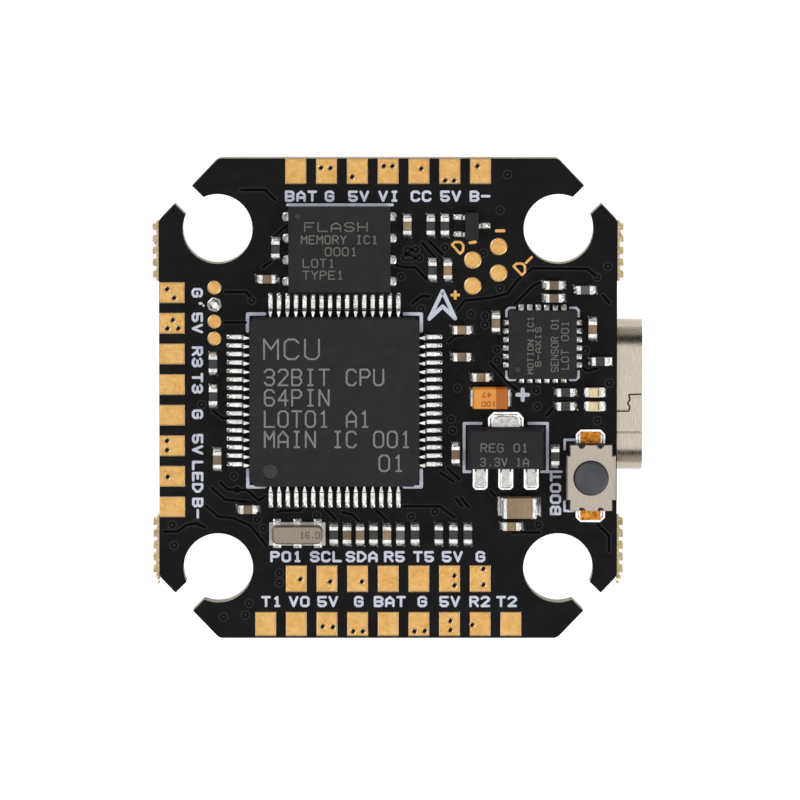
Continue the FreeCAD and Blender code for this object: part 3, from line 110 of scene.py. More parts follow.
def solids_mm(node):
    """The box of each separate solid in a CAD node, in millimetres."""
    bm = merged_copy(node)
    unseen = set(bm.verts)
    boxes = []
    while unseen:
        waiting = [unseen.pop()]
        points = []
        while waiting:
            vert = waiting.pop()
            points.append(vert.co / MM)
            for edge in vert.link_edges:
                other = edge.other_vert(vert)
                if other in unseen:
                    unseen.discard(other)
                    waiting.append(other)
        low, high = [Vector([pick(p[axis] for p in points) for axis in range(3)]) for pick in (min, max)]
        boxes.append((low, high))
    bm.free()
    return sorted(boxes, key=lambda pair: tuple(round(value, 3) for value in pair[0]))


TOP = box_mm("circuit_board")[1].z
HALF_WIDE = -box_mm("edge_pads")[0].x
print("board top at", round(TOP, 3), "mm; half its width is", round(HALF_WIDE, 3), "mm")


# %% [markdown]
# ## Small helpers for finishes and pieces
# Each finish is a small tree of shader nodes round a Principled BSDF. One function adds any node, sets its
# properties and inputs and makes its links, so that a finish reads as a short list. Colours are written as
# the sRGB hex values that a designer would pick and are turned to the linear values that Cycles works in.


# %% One function for every node
def linear(code, alpha=1.0):
    """An sRGB hex colour as linear red, green, blue and alpha."""
    channels = [int(code[at:at + 2], 16) / 255 for at in (1, 3, 5)]
    bent = [c / 12.92 if c <= 0.04045 else ((c + 0.055) / 1.055) ** 2.4 for c in channels]
    return (*bent, alpha)


def add(tree, kind, inputs=None, **settings):
    """One node, with its settings, its input values and its links."""
    made = tree.nodes.new(kind)
    for key, value in settings.items():
        setattr(made, key, value)
    for name, value in (inputs or {}).items():
        socket = made.inputs[name]
        if isinstance(value, bpy.types.NodeSocket):
            tree.links.new(value, socket)
        else:
            socket.default_value = value
    return made


# A Mix node has a set of sockets for each kind of data; these are the ones it uses for colours.
AMOUNT, FIRST, SECOND, MIXED = 0, 6, 7, 2
print("white turns to", linear("#FFFFFF")[:3])


# %% Patterns that finishes share
def finish(name, **shader_values):
    """A new material with a Principled BSDF; returns the material, its tree and the shader node."""
    made = bpy.data.materials.new(name)
    made.use_nodes = True
    tree = made.node_tree
    tree.nodes.clear()
    shader = add(tree, "ShaderNodeBsdfPrincipled",
                 {key.replace("_", " "): value for key, value in shader_values.items()})
    add(tree, "ShaderNodeOutputMaterial", {"Surface": shader.outputs["BSDF"]})
    return made, tree, shader


def patches(tree, size_mm, low=0.0, high=1.0, contrast=(0.3, 0.7), detail=3.0):
    """Soft patches about size_mm across, running from low to high, laid out on Object coordinates."""
    noise = add(tree, "ShaderNodeTexNoise", {
        "Vector": add(tree, "ShaderNodeTexCoord").outputs["Object"], "Scale": 1 / (size_mm * MM),
        "Detail": detail, "Roughness": 0.55})
    return add(tree, "ShaderNodeMapRange", {
        "Value": noise.outputs["Fac"], "From Min": contrast[0], "From Max": contrast[1],
        "To Min": low, "To Max": high}).outputs["Result"]


def two_tones(tree, size_mm, dark, light):
    """A colour that wanders between two hex values in patches."""
    return add(tree, "ShaderNodeMix", {
        AMOUNT: patches(tree, size_mm), FIRST: linear(dark), SECOND: linear(light)},
        data_type="RGBA").outputs[MIXED]


def relief(tree, grain_mm, depth_mm, strength=1.0):
    """Grains of a real size standing up by a real depth."""
    noise = add(tree, "ShaderNodeTexNoise", {
        "Vector": add(tree, "ShaderNodeTexCoord").outputs["Object"], "Scale": 1 / (grain_mm * MM),
        "Detail": 3.0, "Roughness": 0.55})
    return add(tree, "ShaderNodeBump", {
        "Height": noise.outputs["Fac"], "Distance": depth_mm * MM,
        "Strength": strength}).outputs["Normal"]


def feed(tree, shader, **sources):
    """Link patterns to the shader's inputs; an underscore stands for a space."""
    for name, source in sources.items():
        tree.links.new(source, shader.inputs[name.replace("_", " ")])


def grained(name, dark, light, patch_mm, rough=None, sand=None, **shader_values):
    """Two close tones; rough is (lowest, highest, patch size), sand is (grain, depth, strength)."""
    made, tree, shader = finish(name, **shader_values)
    feed(tree, shader, Base_Color=two_tones(tree, patch_mm, dark, light))
    if rough:
        feed(tree, shader, Roughness=patches(tree, rough[2], *rough[:2]))
    if sand:
        feed(tree, shader, Normal=relief(tree, *sand))
    return made


print("patches of 0.5 mm take a noise scale of", round(1 / (0.5 * MM)), "per metre")


# %% Helpers for pieces
def new_piece(name, bm, material, smooth=False, body=ROOT):
    """Make the piece from a bmesh drawn in millimetres, and let it ride."""
    bmesh.ops.scale(bm, vec=(MM, MM, MM), verts=bm.verts)
    mesh = bpy.data.meshes.new(name)
    bm.to_mesh(mesh)
    bm.free()
    for polygon in mesh.polygons:
        polygon.use_smooth = smooth
    piece = bpy.data.objects.new(name, mesh)
    bpy.context.collection.objects.link(piece)
    mesh.materials.append(material)
    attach(piece, body)
    print(name, len(mesh.polygons), "faces")
    return piece


def outward_piece(name, bm, material, smooth=False):
    """The same for shapes drawn here, whose faces are first turned outwards."""
    bmesh.ops.recalc_face_normals(bm, faces=bm.faces)
    return new_piece(name, bm, material, smooth)


def block_into(bm, centre, size, ease=0.0, segments=2):
    """A block about a centre, with its edges eased."""
    matrix = Matrix.Translation(centre) @ Matrix.Diagonal((*size, 1.0))
    made = bmesh.ops.create_cube(bm, size=1.0, matrix=matrix)
    if ease > 0:
        edges = {edge for vert in made["verts"] for edge in vert.link_edges}
        bmesh.ops.bevel(bm, geom=list(edges), offset=ease, offset_type="OFFSET", segments=segments,
                        profile=0.5, affect="EDGES", clamp_overlap=True, material=-1)


def disc_into(bm, centre, radius, high, sides=24, face=1.0):
    """A short upright cylinder standing on centre, or hanging from it where face is -1."""
    matrix = Matrix.Translation(Vector(centre) + Vector((0, 0, face * high / 2)))
    bmesh.ops.create_cone(bm, cap_ends=True, segments=sides, radius1=radius, radius2=radius,
                          depth=high, matrix=matrix)


LAP_STEP = 0.0015


def chain_into(bm, points, wide, level, high, step=0, face=1.0):
    """Flat bars through the points with round joints; laps differ in height so that none coincide."""
    for number, (start, end) in enumerate(zip(points, points[1:])):
        start, end = Vector((*start, 0)), Vector((*end, 0))
        run = end - start
        tall = high + LAP_STEP * ((number + step) % 3)
        turn = Matrix.Rotation(math.atan2(run.y, run.x), 4, "Z")
        middle = (start + end) / 2 + Vector((0, 0, level + face * tall / 2))
        size = Matrix.Diagonal((run.length, wide, tall, 1.0))
        bmesh.ops.create_cube(bm, size=1.0, matrix=Matrix.Translation(middle) @ turn @ size)
    joints = points[:-1] if points[0] == points[-1] else points
    for number, (x, y) in enumerate(joints):
        lap = LAP_STEP * (3 + step + 0.5 * (number % 2))
        disc_into(bm, (x, y, level), wide / 2, high + lap, 12, face)


print("laps step up by", LAP_STEP, "mm")


# %% Helpers for the frame's own solids
def finished(node, material):
    """Give a CAD node its finish."""
    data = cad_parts[node].data
    data.materials.clear()
    data.materials.append(material)


def longer(bm, node, longer_by):
    """Stretch each block of a copy in metres about its middle: so many millimetres at each end in X."""
    middles = [(low.x + high.x) / 2 * MM for low, high in solids_mm(node)]
    for vert in bm.verts:
        middle = min(middles, key=lambda x: abs(x - vert.co.x))
        vert.co.x += math.copysign(longer_by * MM, vert.co.x - middle)


SHARP = math.radians(35)        # edges that turn by more than this are eased
FLAT = math.radians(1)          # and faces that turn by less are joined first


def eased(node, material, ease, slot, longer_by=0.0):
    """A copy of a CAD node with its sharp edges rounded, which stands for the node."""
    bm = merged_copy(node)
    if longer_by:
        longer(bm, node, longer_by)
    bmesh.ops.dissolve_limit(bm, angle_limit=FLAT, verts=bm.verts, edges=bm.edges)
    sharp = [edge for edge in bm.edges
             if len(edge.link_faces) == 2 and edge.calc_face_angle() > SHARP]
    bmesh.ops.bevel(bm, geom=sharp, offset=ease * MM, offset_type="OFFSET", segments=2,
                    profile=0.5, affect="EDGES", clamp_overlap=True, material=-1)
    bmesh.ops.triangulate(bm, faces=[face for face in bm.faces if len(face.verts) > 4])
    to_mm(bm)
    piece = new_piece(node + "_eased", bm, material)
    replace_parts(piece, node)


print("edges that turn by more than", round(math.degrees(SHARP)), "degrees are eased")

# %% [markdown]
# ## Finishes
# Most of what the eye reads on a circuit board is one dark coating, one gold, one tin and one black epoxy,
# each seen dozens of times. They are kept apart by gloss and grain more than by colour, so every one of
# them carries its own roughness pattern, and all but a few their own fine relief.


# %% Laminate under matte black solder mask
SKIN = 0.02         # the mask's depth at the two faces of the laminate
LAYER_STEP = 0.2    # from one glass layer to the next in a sawn edge


def solder_mask():
    """Matte black screened mask: near-black, a little cloudy, with raw glass-epoxy at every sawn edge."""
    made, tree, shader = finish("mask_over_laminate", IOR=1.5, Specular_IOR_Level=0.14)
    place = add(tree, "ShaderNodeTexCoord").outputs["Object"]
    where = add(tree, "ShaderNodeSeparateXYZ", {"Vector": place})
    over_low = add(tree, "ShaderNodeMath", {0: where.outputs["Z"], 1: SKIN * MM},
                   operation="GREATER_THAN")
    under_high = add(tree, "ShaderNodeMath", {0: where.outputs["Z"], 1: (TOP - SKIN) * MM},
                     operation="LESS_THAN")
    wall = add(tree, "ShaderNodeMath", {0: over_low.outputs[0], 1: under_high.outputs[0]},
               operation="MULTIPLY").outputs[0]
    reach = add(tree, "ShaderNodeMath", {0: where.outputs["X"]}, operation="ABSOLUTE").outputs[0]
    stub = add(tree, "ShaderNodeMath", {0: reach, 1: (HALF_WIDE + SKIN) * MM},
               operation="GREATER_THAN").outputs[0]
    layers = add(tree, "ShaderNodeTexWave", {
        "Vector": place, "Scale": 1 / (2 * LAYER_STEP * MM) / math.pi, "Distortion": 1.5,
        "Detail": 2.0}, bands_direction="Z").outputs["Fac"]
    glass = add(tree, "ShaderNodeMix", {
        AMOUNT: layers, FIRST: linear("#6F6758"), SECOND: linear("#A39A86")}, data_type="RGBA")
    sawn = add(tree, "ShaderNodeMix", {
        AMOUNT: wall, FIRST: two_tones(tree, 2.5, "#0C0C0E", "#131315"),
        SECOND: glass.outputs[MIXED]}, data_type="RGBA")
    whole = add(tree, "ShaderNodeMix", {
        AMOUNT: stub, FIRST: sawn.outputs[MIXED],
        SECOND: two_tones(tree, 0.15, "#B39F6B", "#EADBAE")}, data_type="RGBA")
    feed(tree, shader, Base_Color=whole.outputs[MIXED], Roughness=patches(tree, 0.6, 0.42, 0.58),
         Normal=relief(tree, 0.12, 0.004, 0.6))
    return made


MASK = solder_mask()
# Torn laminate is pale resin with white glass ends, quite dull.
TORN = grained("torn_glass_epoxy", "#D8C48A", "#FFF6DC", 0.18, sand=(0.06, 0.03), IOR=1.5, Roughness=0.75)
# Screened white epoxy ink is slightly blue and matte, and thinner where the screen lifted.
INK = grained("white_legend_ink", "#D0D6EA", "#EEF1FA", 0.25, sand=(0.08, 0.006), IOR=1.5, Roughness=0.6)
print("board finishes:", MASK.name, TORN.name, INK.name)


# %% Metals
def bright_tin(name, dull, clean, rough, bump_mm):
    """Tin, plated or reflowed: near-white metal whose gloss wanders over a few tenths of a millimetre."""
    return grained(name, dull, clean, 0.3, (rough, rough + 0.18, 0.2), (0.11, bump_mm), Metallic=1.0)


def stamped_steel(name, dark, light, rough):
    """Rolled stainless sheet: warm grey, with faint lines along the rolling direction."""
    made, tree, shader = finish(name, Metallic=1.0)
    stretch = add(tree, "ShaderNodeMapping", {
        "Vector": add(tree, "ShaderNodeTexCoord").outputs["Object"], "Scale": (1.0, 0.08, 1.0)})
    lines = add(tree, "ShaderNodeTexNoise", {
        "Vector": stretch.outputs["Vector"], "Scale": 1 / (0.05 * MM), "Detail": 4.0}).outputs["Fac"]
    tone, gloss = [add(tree, "ShaderNodeMapRange", {
        "Value": lines, "From Min": 0.3, "From Max": 0.7, "To Min": low, "To Max": high}).outputs["Result"]
        for low, high in ((0.0, 1.0), (rough, rough + 0.1))]
    colour = add(tree, "ShaderNodeMix", {AMOUNT: tone, FIRST: linear(dark), SECOND: linear(light)},
                 data_type="RGBA").outputs[MIXED]
    feed(tree, shader, Base_Color=colour, Roughness=gloss, Normal=relief(tree, 0.5, 0.004, 0.5))
    return made


# Thin gold over nickel is a soft satin, warmer in patches, with the faint grain of the copper below.
GOLD = grained("immersion_gold", "#DCA65A", "#EBBD78", 0.5, (0.34, 0.5, 0.15), (0.07, 0.004, 0.7),
               Metallic=1.0)
# The rounded edge of a plated land is given a paler gold, a painted highlight where the edge catches more
# light.
GOLD_RIM_HIGHLIGHT = grained("gold_rim", "#F7CE8C", "#FFE0AE", 0.3, (0.3, 0.42, 0.15), Metallic=1.0)
LEAD = bright_tin("tin_plating", "#BBBAB6", "#F0EFEC", 0.2, 0.018)
SMOOTH_LEAD = bright_tin("rolled_tinned_strip", "#B3B2AF", "#CBCAC7", 0.26, 0.005)
CLEAN_TIN = bright_tin("clean_tin", "#DBDAD7", "#F6F5F3", 0.22, 0.004)
SOLDER = bright_tin("reflowed_solder", "#CBCAC6", "#F8F7F5", 0.16, 0.012)
COVER_STEEL = stamped_steel("stamped_cover_steel", "#A59B90", "#BCB3A8", 0.32)
SHELL_STEEL = stamped_steel("nickel_plated_shell", "#978E84", "#BAB1A5", 0.2)
LID_STEEL = stamped_steel("nickel_plated_lid", "#7B7067", "#968B81", 0.28)
# Cut phosphor bronze is orange where it is bare and grey where tin crept over it.
BRONZE = grained("bare_bronze", "#8A4A12", "#E0983E", 0.25, (0.2, 0.4, 0.12), (0.1, 0.02), Metallic=1.0)
print("metals:", GOLD.name, LEAD.name, SOLDER.name, COVER_STEEL.name)


# %% Plastics
def moulded(name, dark, light, rough, grain_mm=0.08, bump_mm=0.006, **shader_values):
    """Filled plastic out of a spark-eroded mould: an even colour under a fine sandy grain."""
    return grained(name, dark, light, 0.9, (rough, rough + 0.12, grain_mm * 3), (grain_mm, bump_mm),
                   IOR=1.5, **shader_values)


def banded(name, tones, dark, node, start, end, rough):
    """Moulded epoxy with a darker printed band between two shares of the node's length in X."""
    made, tree, shader = finish(name, IOR=1.5)
    low, high = box_mm(node)
    across = add(tree, "ShaderNodeSeparateXYZ", {
        "Vector": add(tree, "ShaderNodeTexCoord").outputs["Object"]}).outputs["X"]
    edges = [(low.x + (high.x - low.x) * share) * MM for share in (start, end)]
    after = add(tree, "ShaderNodeMath", {0: across, 1: edges[0]}, operation="GREATER_THAN")
    before = add(tree, "ShaderNodeMath", {0: across, 1: edges[1]}, operation="LESS_THAN")
    band = add(tree, "ShaderNodeMath", {0: after.outputs[0], 1: before.outputs[0]}, operation="MULTIPLY")
    colour = add(tree, "ShaderNodeMix", {
        AMOUNT: band.outputs[0], FIRST: two_tones(tree, 0.4, *tones), SECOND: linear(dark)},
        data_type="RGBA").outputs[MIXED]
    feed(tree, shader, Base_Color=colour, Roughness=patches(tree, 0.2, rough, rough + 0.12),
         Normal=relief(tree, 0.08, 0.006))
    return made


EPOXY = moulded("moulded_epoxy", "#1F1F21", "#272729", 0.5, Specular_IOR_Level=0.3)
# Ejector pin dimples are glossier, and near-black as painted shade for the hollow.
PIN_POLISH_AND_SHADE = moulded("ejector_pin_polish", "#09090A", "#101012", 0.16, Specular_IOR_Level=0.4)
SEAM = moulded("shadowed_seam", "#1A1714", "#2B2621", 0.6)
GREEN_INK = moulded("green_polarity_ink", "#2F7A3A", "#56A05A", 0.5)
SWITCH_NYLON = moulded("switch_nylon", "#17171A", "#212124", 0.45)
BUTTON_NYLON = moulded("button_nylon", "#414248", "#525359", 0.42, 0.1, 0.008)
USB_POLYMER = moulded("socket_polymer", "#141414", "#1E1E1E", 0.4)
ESC_NYLON = moulded("natural_nylon", "#DDD5BF", "#EDE7D6", 0.42)
COIL_POWDER = moulded("pressed_iron_powder", "#33332F", "#4A4A47", 0.6, 0.12, 0.02)
TANTALUM = banded("orange_epoxy", ("#F79A2E", "#FFAE4A"), "#C9690F", "tantalum_body", 0.68, 1.1, 0.4)
# Clear casting resin over pale yellow phosphor is glossy and lets light in a little way.
PHOSPHOR = grained("phosphor_resin", "#E9C98C", "#FBE7BB", 0.22, IOR=1.53, Roughness=0.18, Coat_Weight=0.5,
                   Subsurface_Weight=0.25, Subsurface_Radius=(0.3 * MM, 0.2 * MM, 0.1 * MM),
                   Subsurface_Scale=1.0)
print("plastics:", EPOXY.name, TANTALUM.name, PHOSPHOR.name)


# %% Ceramics
def fired_ceramic(name, tones, rough, spot_mm):
    """Sintered ceramic: several close tones from chip to chip and a fine granular surface."""
    made, tree, shader = finish(name, IOR=1.7)
    from_chip_to_chip = patches(tree, 3.5, contrast=(0.35, 0.65), detail=1.0)
    ramp = add(tree, "ShaderNodeValToRGB", {"Fac": from_chip_to_chip})
    while len(ramp.color_ramp.elements) < len(tones):
        ramp.color_ramp.elements.new(0.5)
    for number, tone in enumerate(tones):
        stop = ramp.color_ramp.elements[number]
        stop.position = number / (len(tones) - 1)
        stop.color = linear(tone)
    colour = add(tree, "ShaderNodeMix", {
        AMOUNT: patches(tree, spot_mm, 0.0, 0.35), FIRST: ramp.outputs["Color"],
        SECOND: linear(tones[0])}, data_type="RGBA").outputs[MIXED]
    feed(tree, shader, Base_Color=colour, Roughness=patches(tree, 0.15, rough, rough + 0.15),
         Normal=relief(tree, 0.09, 0.008))
    return made


def glazed_resistor():
    """Black glass printed over white alumina: the glaze shows on top, the alumina at the sides."""
    made, tree, shader = finish("glazed_alumina", IOR=1.52)
    facing = add(tree, "ShaderNodeNewGeometry").outputs["Normal"]
    upward = add(tree, "ShaderNodeSeparateXYZ", {"Vector": facing}).outputs["Z"]
    size = add(tree, "ShaderNodeMath", {0: upward}, operation="ABSOLUTE").outputs[0]
    top = add(tree, "ShaderNodeMath", {0: size, 1: 0.7}, operation="GREATER_THAN").outputs[0]
    colour = add(tree, "ShaderNodeMix", {
        AMOUNT: top, FIRST: linear("#B9B7B0"), SECOND: two_tones(tree, 0.3, "#121211", "#20201F")},
        data_type="RGBA").outputs[MIXED]
    feed(tree, shader, Base_Color=colour, Roughness=patches(tree, 0.2, 0.25, 0.4),
         Normal=relief(tree, 0.12, 0.008))
    return made


TAN_CERAMIC = fired_ceramic("tan_ceramic", ["#6B5539", "#8E7550", "#A88B62", "#8A5A42"], 0.3, 0.15)
WHITE_CERAMIC = fired_ceramic("white_ceramic", ["#BDB9AD", "#D9D6CC", "#E9E6DC"], 0.45, 0.12)
FERRITE = fired_ceramic("grey_ferrite", ["#3B3B3C", "#57575A", "#6A6A6C"], 0.35, 0.1)
GLAZE = glazed_resistor()
print("ceramics:", TAN_CERAMIC.name, WHITE_CERAMIC.name, FERRITE.name, GLAZE.name)


# %% [markdown]
# ## The solids that keep their shape
# Leads, lands and plated ends are already right, so they only need their finish. Packages come out of
# moulds with slightly rounded edges, and a sharp computer edge never catches the light the way they do.
# A copy of each package gets its edges eased by a few hundredths of a millimetre and stands for the node.

# %% Finishes on the frame's own solids
END_TRIM = 0.17             # how much of a bulk capacitor's plated wrap is given back to the ceramic
TANTALUM_SPREAD = 0.12      # how much longer the tantalum capacitor is at each end
KEPT = {
    "circuit_board": MASK, "edge_pads": GOLD, "inner_pads": GOLD, "round_pads": GOLD,
    "flash_terminals": CLEAN_TIN, "gyro_terminals": CLEAN_TIN, "regulator_leads": SMOOTH_LEAD,
    "chip_capacitor_bodies": TAN_CERAMIC, "chip_capacitor_ends": LEAD,
    "chip_resistor_bodies": GLAZE, "chip_resistor_ends": LEAD, "ferrite_bead_bodies": FERRITE,
    "ferrite_bead_ends": LEAD, "resonator_terminals": LEAD,
    "transistor_leads": SMOOTH_LEAD, "lamp_bases": WHITE_CERAMIC, "lamp_lenses": PHOSPHOR,
    "lamp_terminals": LEAD, "boot_button": BUTTON_NYLON,
    "boot_terminals": BRONZE, "usb_shell": SHELL_STEEL, "usb_housing": USB_POLYMER,
    "usb_contacts": GOLD, "esc_socket_pins": LEAD, "esc_socket_tabs": LEAD,
    "osd_chip_leads": LEAD, "buck_chip_leads": LEAD, "inductor_terminals": LEAD,
    "crystal_base": WHITE_CERAMIC, "crystal_lid": LID_STEEL, "resonator_lid": LID_STEEL,
}
EASED = {
    "mcu_body": (EPOXY, 0.06, "mould_epoxy"), "flash_body": (EPOXY, 0.03, "mould_epoxy"),
    "gyro_body": (EPOXY, 0.03, "mould_epoxy"), "regulator_body": (EPOXY, 0.05, "mould_epoxy"),
    "tantalum_body": (TANTALUM, 0.05, "tantalum_case", TANTALUM_SPREAD),
    "bulk_capacitor_bodies": (TAN_CERAMIC, 0.03, "ceramic_tan", END_TRIM),
    "resonator_base": (WHITE_CERAMIC, 0.02, "ceramic_white"),
    "transistor_body": (EPOXY, 0.03, "mould_epoxy"), "boot_case": (SWITCH_NYLON, 0.03, "switch_plastic"),
    "boot_cover": (COVER_STEEL, 0.03, "switch_cover"),
    "usb_tongue": (USB_POLYMER, 0.03, "connector_plastic"),
    "esc_socket_housing": (ESC_NYLON, 0.06, "socket_plastic"),
    "osd_chip_body": (EPOXY, 0.05, "mould_epoxy"), "buck_chip_body": (EPOXY, 0.04, "mould_epoxy"),
    "inductor_core": (COIL_POWDER, 0.06, "inductor_ferrite"),
}
for node_name, material in KEPT.items():
    finished(node_name, material)
for node_name, how in EASED.items():
    eased(node_name, *how)


# %% Polished dimples with painted shade
UPRIGHT = 0.99      # a face whose normal has at least this much Z looks straight up


def polish_and_shade_dimples(node):
    """The mould's ejector pins leave small sunk discs, smoother than the package; their floors get painted
    shade.
    """
    mesh = bpy.data.objects[node + "_eased"].data
    mesh.materials.append(PIN_POLISH_AND_SHADE)
    low, high = box_mm(node)
    sunk = [face for face in mesh.polygons
            if face.normal.z > UPRIGHT and (low.z + high.z) / 2 < face.center.z / MM < high.z - 0.01]
    for face in sunk:
        face.material_index = 1
    print(node, len(sunk), "polished faces")


for node_name in ("mcu_body", "flash_body", "gyro_body"):
    polish_and_shade_dimples(node_name)


# %% Pointed leads
LEAD_PITCH = 0.5
ROOT_SHARE = 0.3    # of a lead's width is left where it enters the package


def pointed_leads(node, body_node):
    """A copy of formed leads whose shoulders narrow towards the package, where the tie bars were cut."""
    bm = copy_mm(node)
    low, high = box_mm(body_node)
    middle = (low + high) / 2
    for vert in bm.verts:
        past = [abs(vert.co[axis] - middle[axis]) - (high[axis] - low[axis]) / 2 for axis in (0, 1)]
        along = 1 if past[0] > past[1] else 0
        if max(past) < 0.01:
            shift = vert.co[along] - middle[along]
            lead = LEAD_PITCH * (math.floor(shift / LEAD_PITCH) + 0.5)
            vert.co[along] = middle[along] + lead + (shift - lead) * ROOT_SHARE
    piece = outward_piece(node + "_pointed", bm, LEAD)
    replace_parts(piece, node)


pointed_leads("mcu_leads", "mcu_body")


# %% Shorter ends and wider strips
END_ROUNDING = 0.12     # how far the wrap's rounded inner edge reaches past the ceramic's box


def trimmed_ends(node, bodies_node, trim):
    """A copy of plated ends whose wrap over the chip is shorter, so that more ceramic shows."""
    bm = copy_mm(node)
    for low, high in solids_mm(bodies_node):
        for vert in bm.verts:
            near = (abs(vert.co.y - (low.y + high.y) / 2) < 1
                    and low.x - END_ROUNDING < vert.co.x < high.x + END_ROUNDING)
            if near and (vert.co.z > 0) == (high.z > 0):
                vert.co.x += trim if vert.co.x > (low.x + high.x) / 2 else -trim
    piece = new_piece(node + "_trimmed", bm, LEAD)
    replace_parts(piece, node)


trimmed_ends("bulk_capacitor_ends", "bulk_capacitor_bodies", END_TRIM - 0.01)
strips = copy_mm("tantalum_terminals")
for vert in strips.verts:
    vert.co.x += math.copysign(TANTALUM_SPREAD, vert.co.x - centre_mm("tantalum_body").x)
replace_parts(new_piece("tantalum_strips", strips, SMOOTH_LEAD), "tantalum_terminals")

# %% [markdown]
# ## Snap dome
# Under the switch's button lies a thin sprung disc, which buckles flat as the button goes down and lifts it
# again. Left rigid it would cut into the pressed button. Shape keys or a driver could flatten it, but the
# frame's own squash follows the joint by itself; here the dome is made a piece with its own mesh, and the
# middle of its rim is worked out.


# %% Dome under the button
snap_dome = new_piece("snap_dome", copy_mm("boot_dome"), COVER_STEEL, smooth=True)
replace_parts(snap_dome, "boot_dome")
rim = centre_mm("boot_dome")
rim.z = box_mm("boot_dome")[0].z
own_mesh(snap_dome)
print("dome is", round(box_mm("boot_dome")[1].z - rim.z, 2), "mm high at rest")

# %% [markdown]
# ## Solder on the lands
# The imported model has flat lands, but the real ones were printed with paste and melted. Each joint is a
# small shiny heap: full against the metal end of its component, thin at the outer rim and never quite even.
# A heap is a fine grid laid on its land, lifted towards the nearest terminal and closed below. Every land
# gets its own seeded lumps, so that no two joints glint in the same way.

# %% Find the terminal that each joint climbs
METAL = [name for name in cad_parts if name.endswith(("_leads", "_terminals", "_ends", "_tabs"))]
METAL += ["esc_socket_pins", "usb_contacts", "usb_shell"]
FORMED = ("mcu_leads", "osd_chip_leads", "buck_chip_leads", "transistor_leads", "regulator_leads",
          "boot_terminals", "usb_contacts", "usb_shell", "esc_socket_pins", "esc_socket_tabs")
LEADLESS = ("flash_terminals", "gyro_terminals", "resonator_terminals")
THIN_CLIMB, LOW_CLIMB, TALL_CLIMB = 0.07, 0.09, 0.3
Terminal = namedtuple("Terminal", "low high climb corner_loss overflow name")
# How much of its corners a joint loses, and how far it flows over its land.
PLAIN_SHAPE = (0.1, 1.0)
SHAPES = {"boot_terminals": (0.24, 1.0), "flash_terminals": (0.2, 1.3), "gyro_terminals": (0.08, 1.2),
          "regulator_leads": (0.13, 1.0)}
terminals = []
for name in METAL:
    for low, high in solids_mm(name):
        climb = THIN_CLIMB if name in FORMED else LOW_CLIMB if name in LEADLESS else TALL_CLIMB
        terminals.append(Terminal(low, high, climb, *SHAPES.get(name, PLAIN_SHAPE), name))


def gap_to(point, terminal):
    """How far a point lies outside a terminal's box, seen from above."""
    low, high = terminal.low, terminal.high
    return math.hypot(max(low.x - point.x, 0, point.x - high.x), max(low.y - point.y, 0, point.y - high.y))


def nearest_terminal(low, high):
    """The terminal that shares most of the land and stands on the same side of the board."""
    middle = (low + high) / 2
    above = middle.z > TOP / 2
    same_side = [item for item in terminals if (item.high.z > TOP / 2) == above]
    return min(same_side, key=lambda item: gap_to(middle, item) + 0.1 * (
        (item.low + item.high) / 2 - middle).xy.length)


print(len(terminals), "terminal pieces")


# %% Heap the solder
CELL = 0.08                     # width of a heap's grid cells
FILM, RIM_FILM = 0.07, 0.012    # solder over a land, and at its very edge
CLIMB_SHARE = 0.8               # of a terminal's height is the most that solder climbs
WETTING = 0.13                  # how quickly a heap falls away from its terminal
LUMP, SMALL_LUMP = 0.01, 0.003  # unevenness of a heap, and of one beside a leadless package
SUNK = 0.01                     # how far a heap's underside lies inside the board


def heap_into(bm, low, high, dice):
    """One soldered joint over the land between two corners."""
    above = low.z > TOP / 2
    floor = TOP if above else 0.0
    outward = 1.0 if above else -1.0
    terminal = nearest_terminal(low, high)
    metal_high = abs((terminal.high.z if above else terminal.low.z) - floor)
    climb = min(CLIMB_SHARE * metal_high, terminal.climb)
    middle, size = (low + high) / 2, (high - low) * terminal.overflow
    lumpy = SMALL_LUMP if terminal.climb == LOW_CLIMB else LUMP
    cells = [max(6, min(12, round(length / CELL))) for length in size.xy]
    made = bmesh.ops.create_grid(bm, x_segments=cells[0], y_segments=cells[1], size=1.0)
    verts = made["verts"]
    phase = [dice.uniform(0, math.tau) for _ in range(4)]
    swell = dice.uniform(0.85, 1.2)
    for vert in verts:
        u, v = vert.co.x, vert.co.y
        rounding = 1 - terminal.corner_loss * (u * v) ** 2
        x, y = middle.x + u * rounding * size.x / 2, middle.y + v * rounding * size.y / 2
        shoulder = max(0.0, (1 - u ** 6) * (1 - v ** 6)) ** 0.5
        gap = gap_to(Vector((x, y)), terminal)
        near = math.exp(-(gap / WETTING) ** 1.5)
        lump = (math.sin(7 * x + phase[0]) * math.sin(8 * y + phase[1])
                + 0.4 * math.sin(17 * x + phase[2]) * math.sin(15 * y + phase[3]))
        tall = FILM * swell + (climb - 0.05) * near * swell + lumpy * lump
        if gap == 0 and terminal.climb == THIN_CLIMB:
            tall = min(tall, 0.06)
        vert.co = (x, y, floor + outward * (RIM_FILM + max(tall, 0.03) * shoulder))
    faces = list({face for vert in verts for face in vert.link_faces})
    for face in faces:
        face.material_index = int(terminal.name in LEADLESS)
    skirt = bmesh.ops.extrude_face_region(bm, geom=faces, use_keep_orig=True)
    for part in skirt["geom"]:
        if isinstance(part, bmesh.types.BMVert):
            part.co.z = floor - outward * SUNK


dice = random.Random(64)
joints = bmesh.new()
for low, high in solids_mm("solder_lands"):
    heap_into(joints, low, high, dice)
solder_joints = outward_piece("solder_joints", joints, SOLDER, smooth=True)
solder_joints.data.materials.append(CLEAN_TIN)
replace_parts(solder_joints, "solder_lands")


# %% Beads round the wide lands
BEAD_WIDE, BEAD_HIGH = 0.11, 0.1
CUT_SHARE = 0.14        # of the land's width is cut off each corner
BEADED = {"boot_terminals": "boot_cover", "regulator_leads": "regulator_body"}


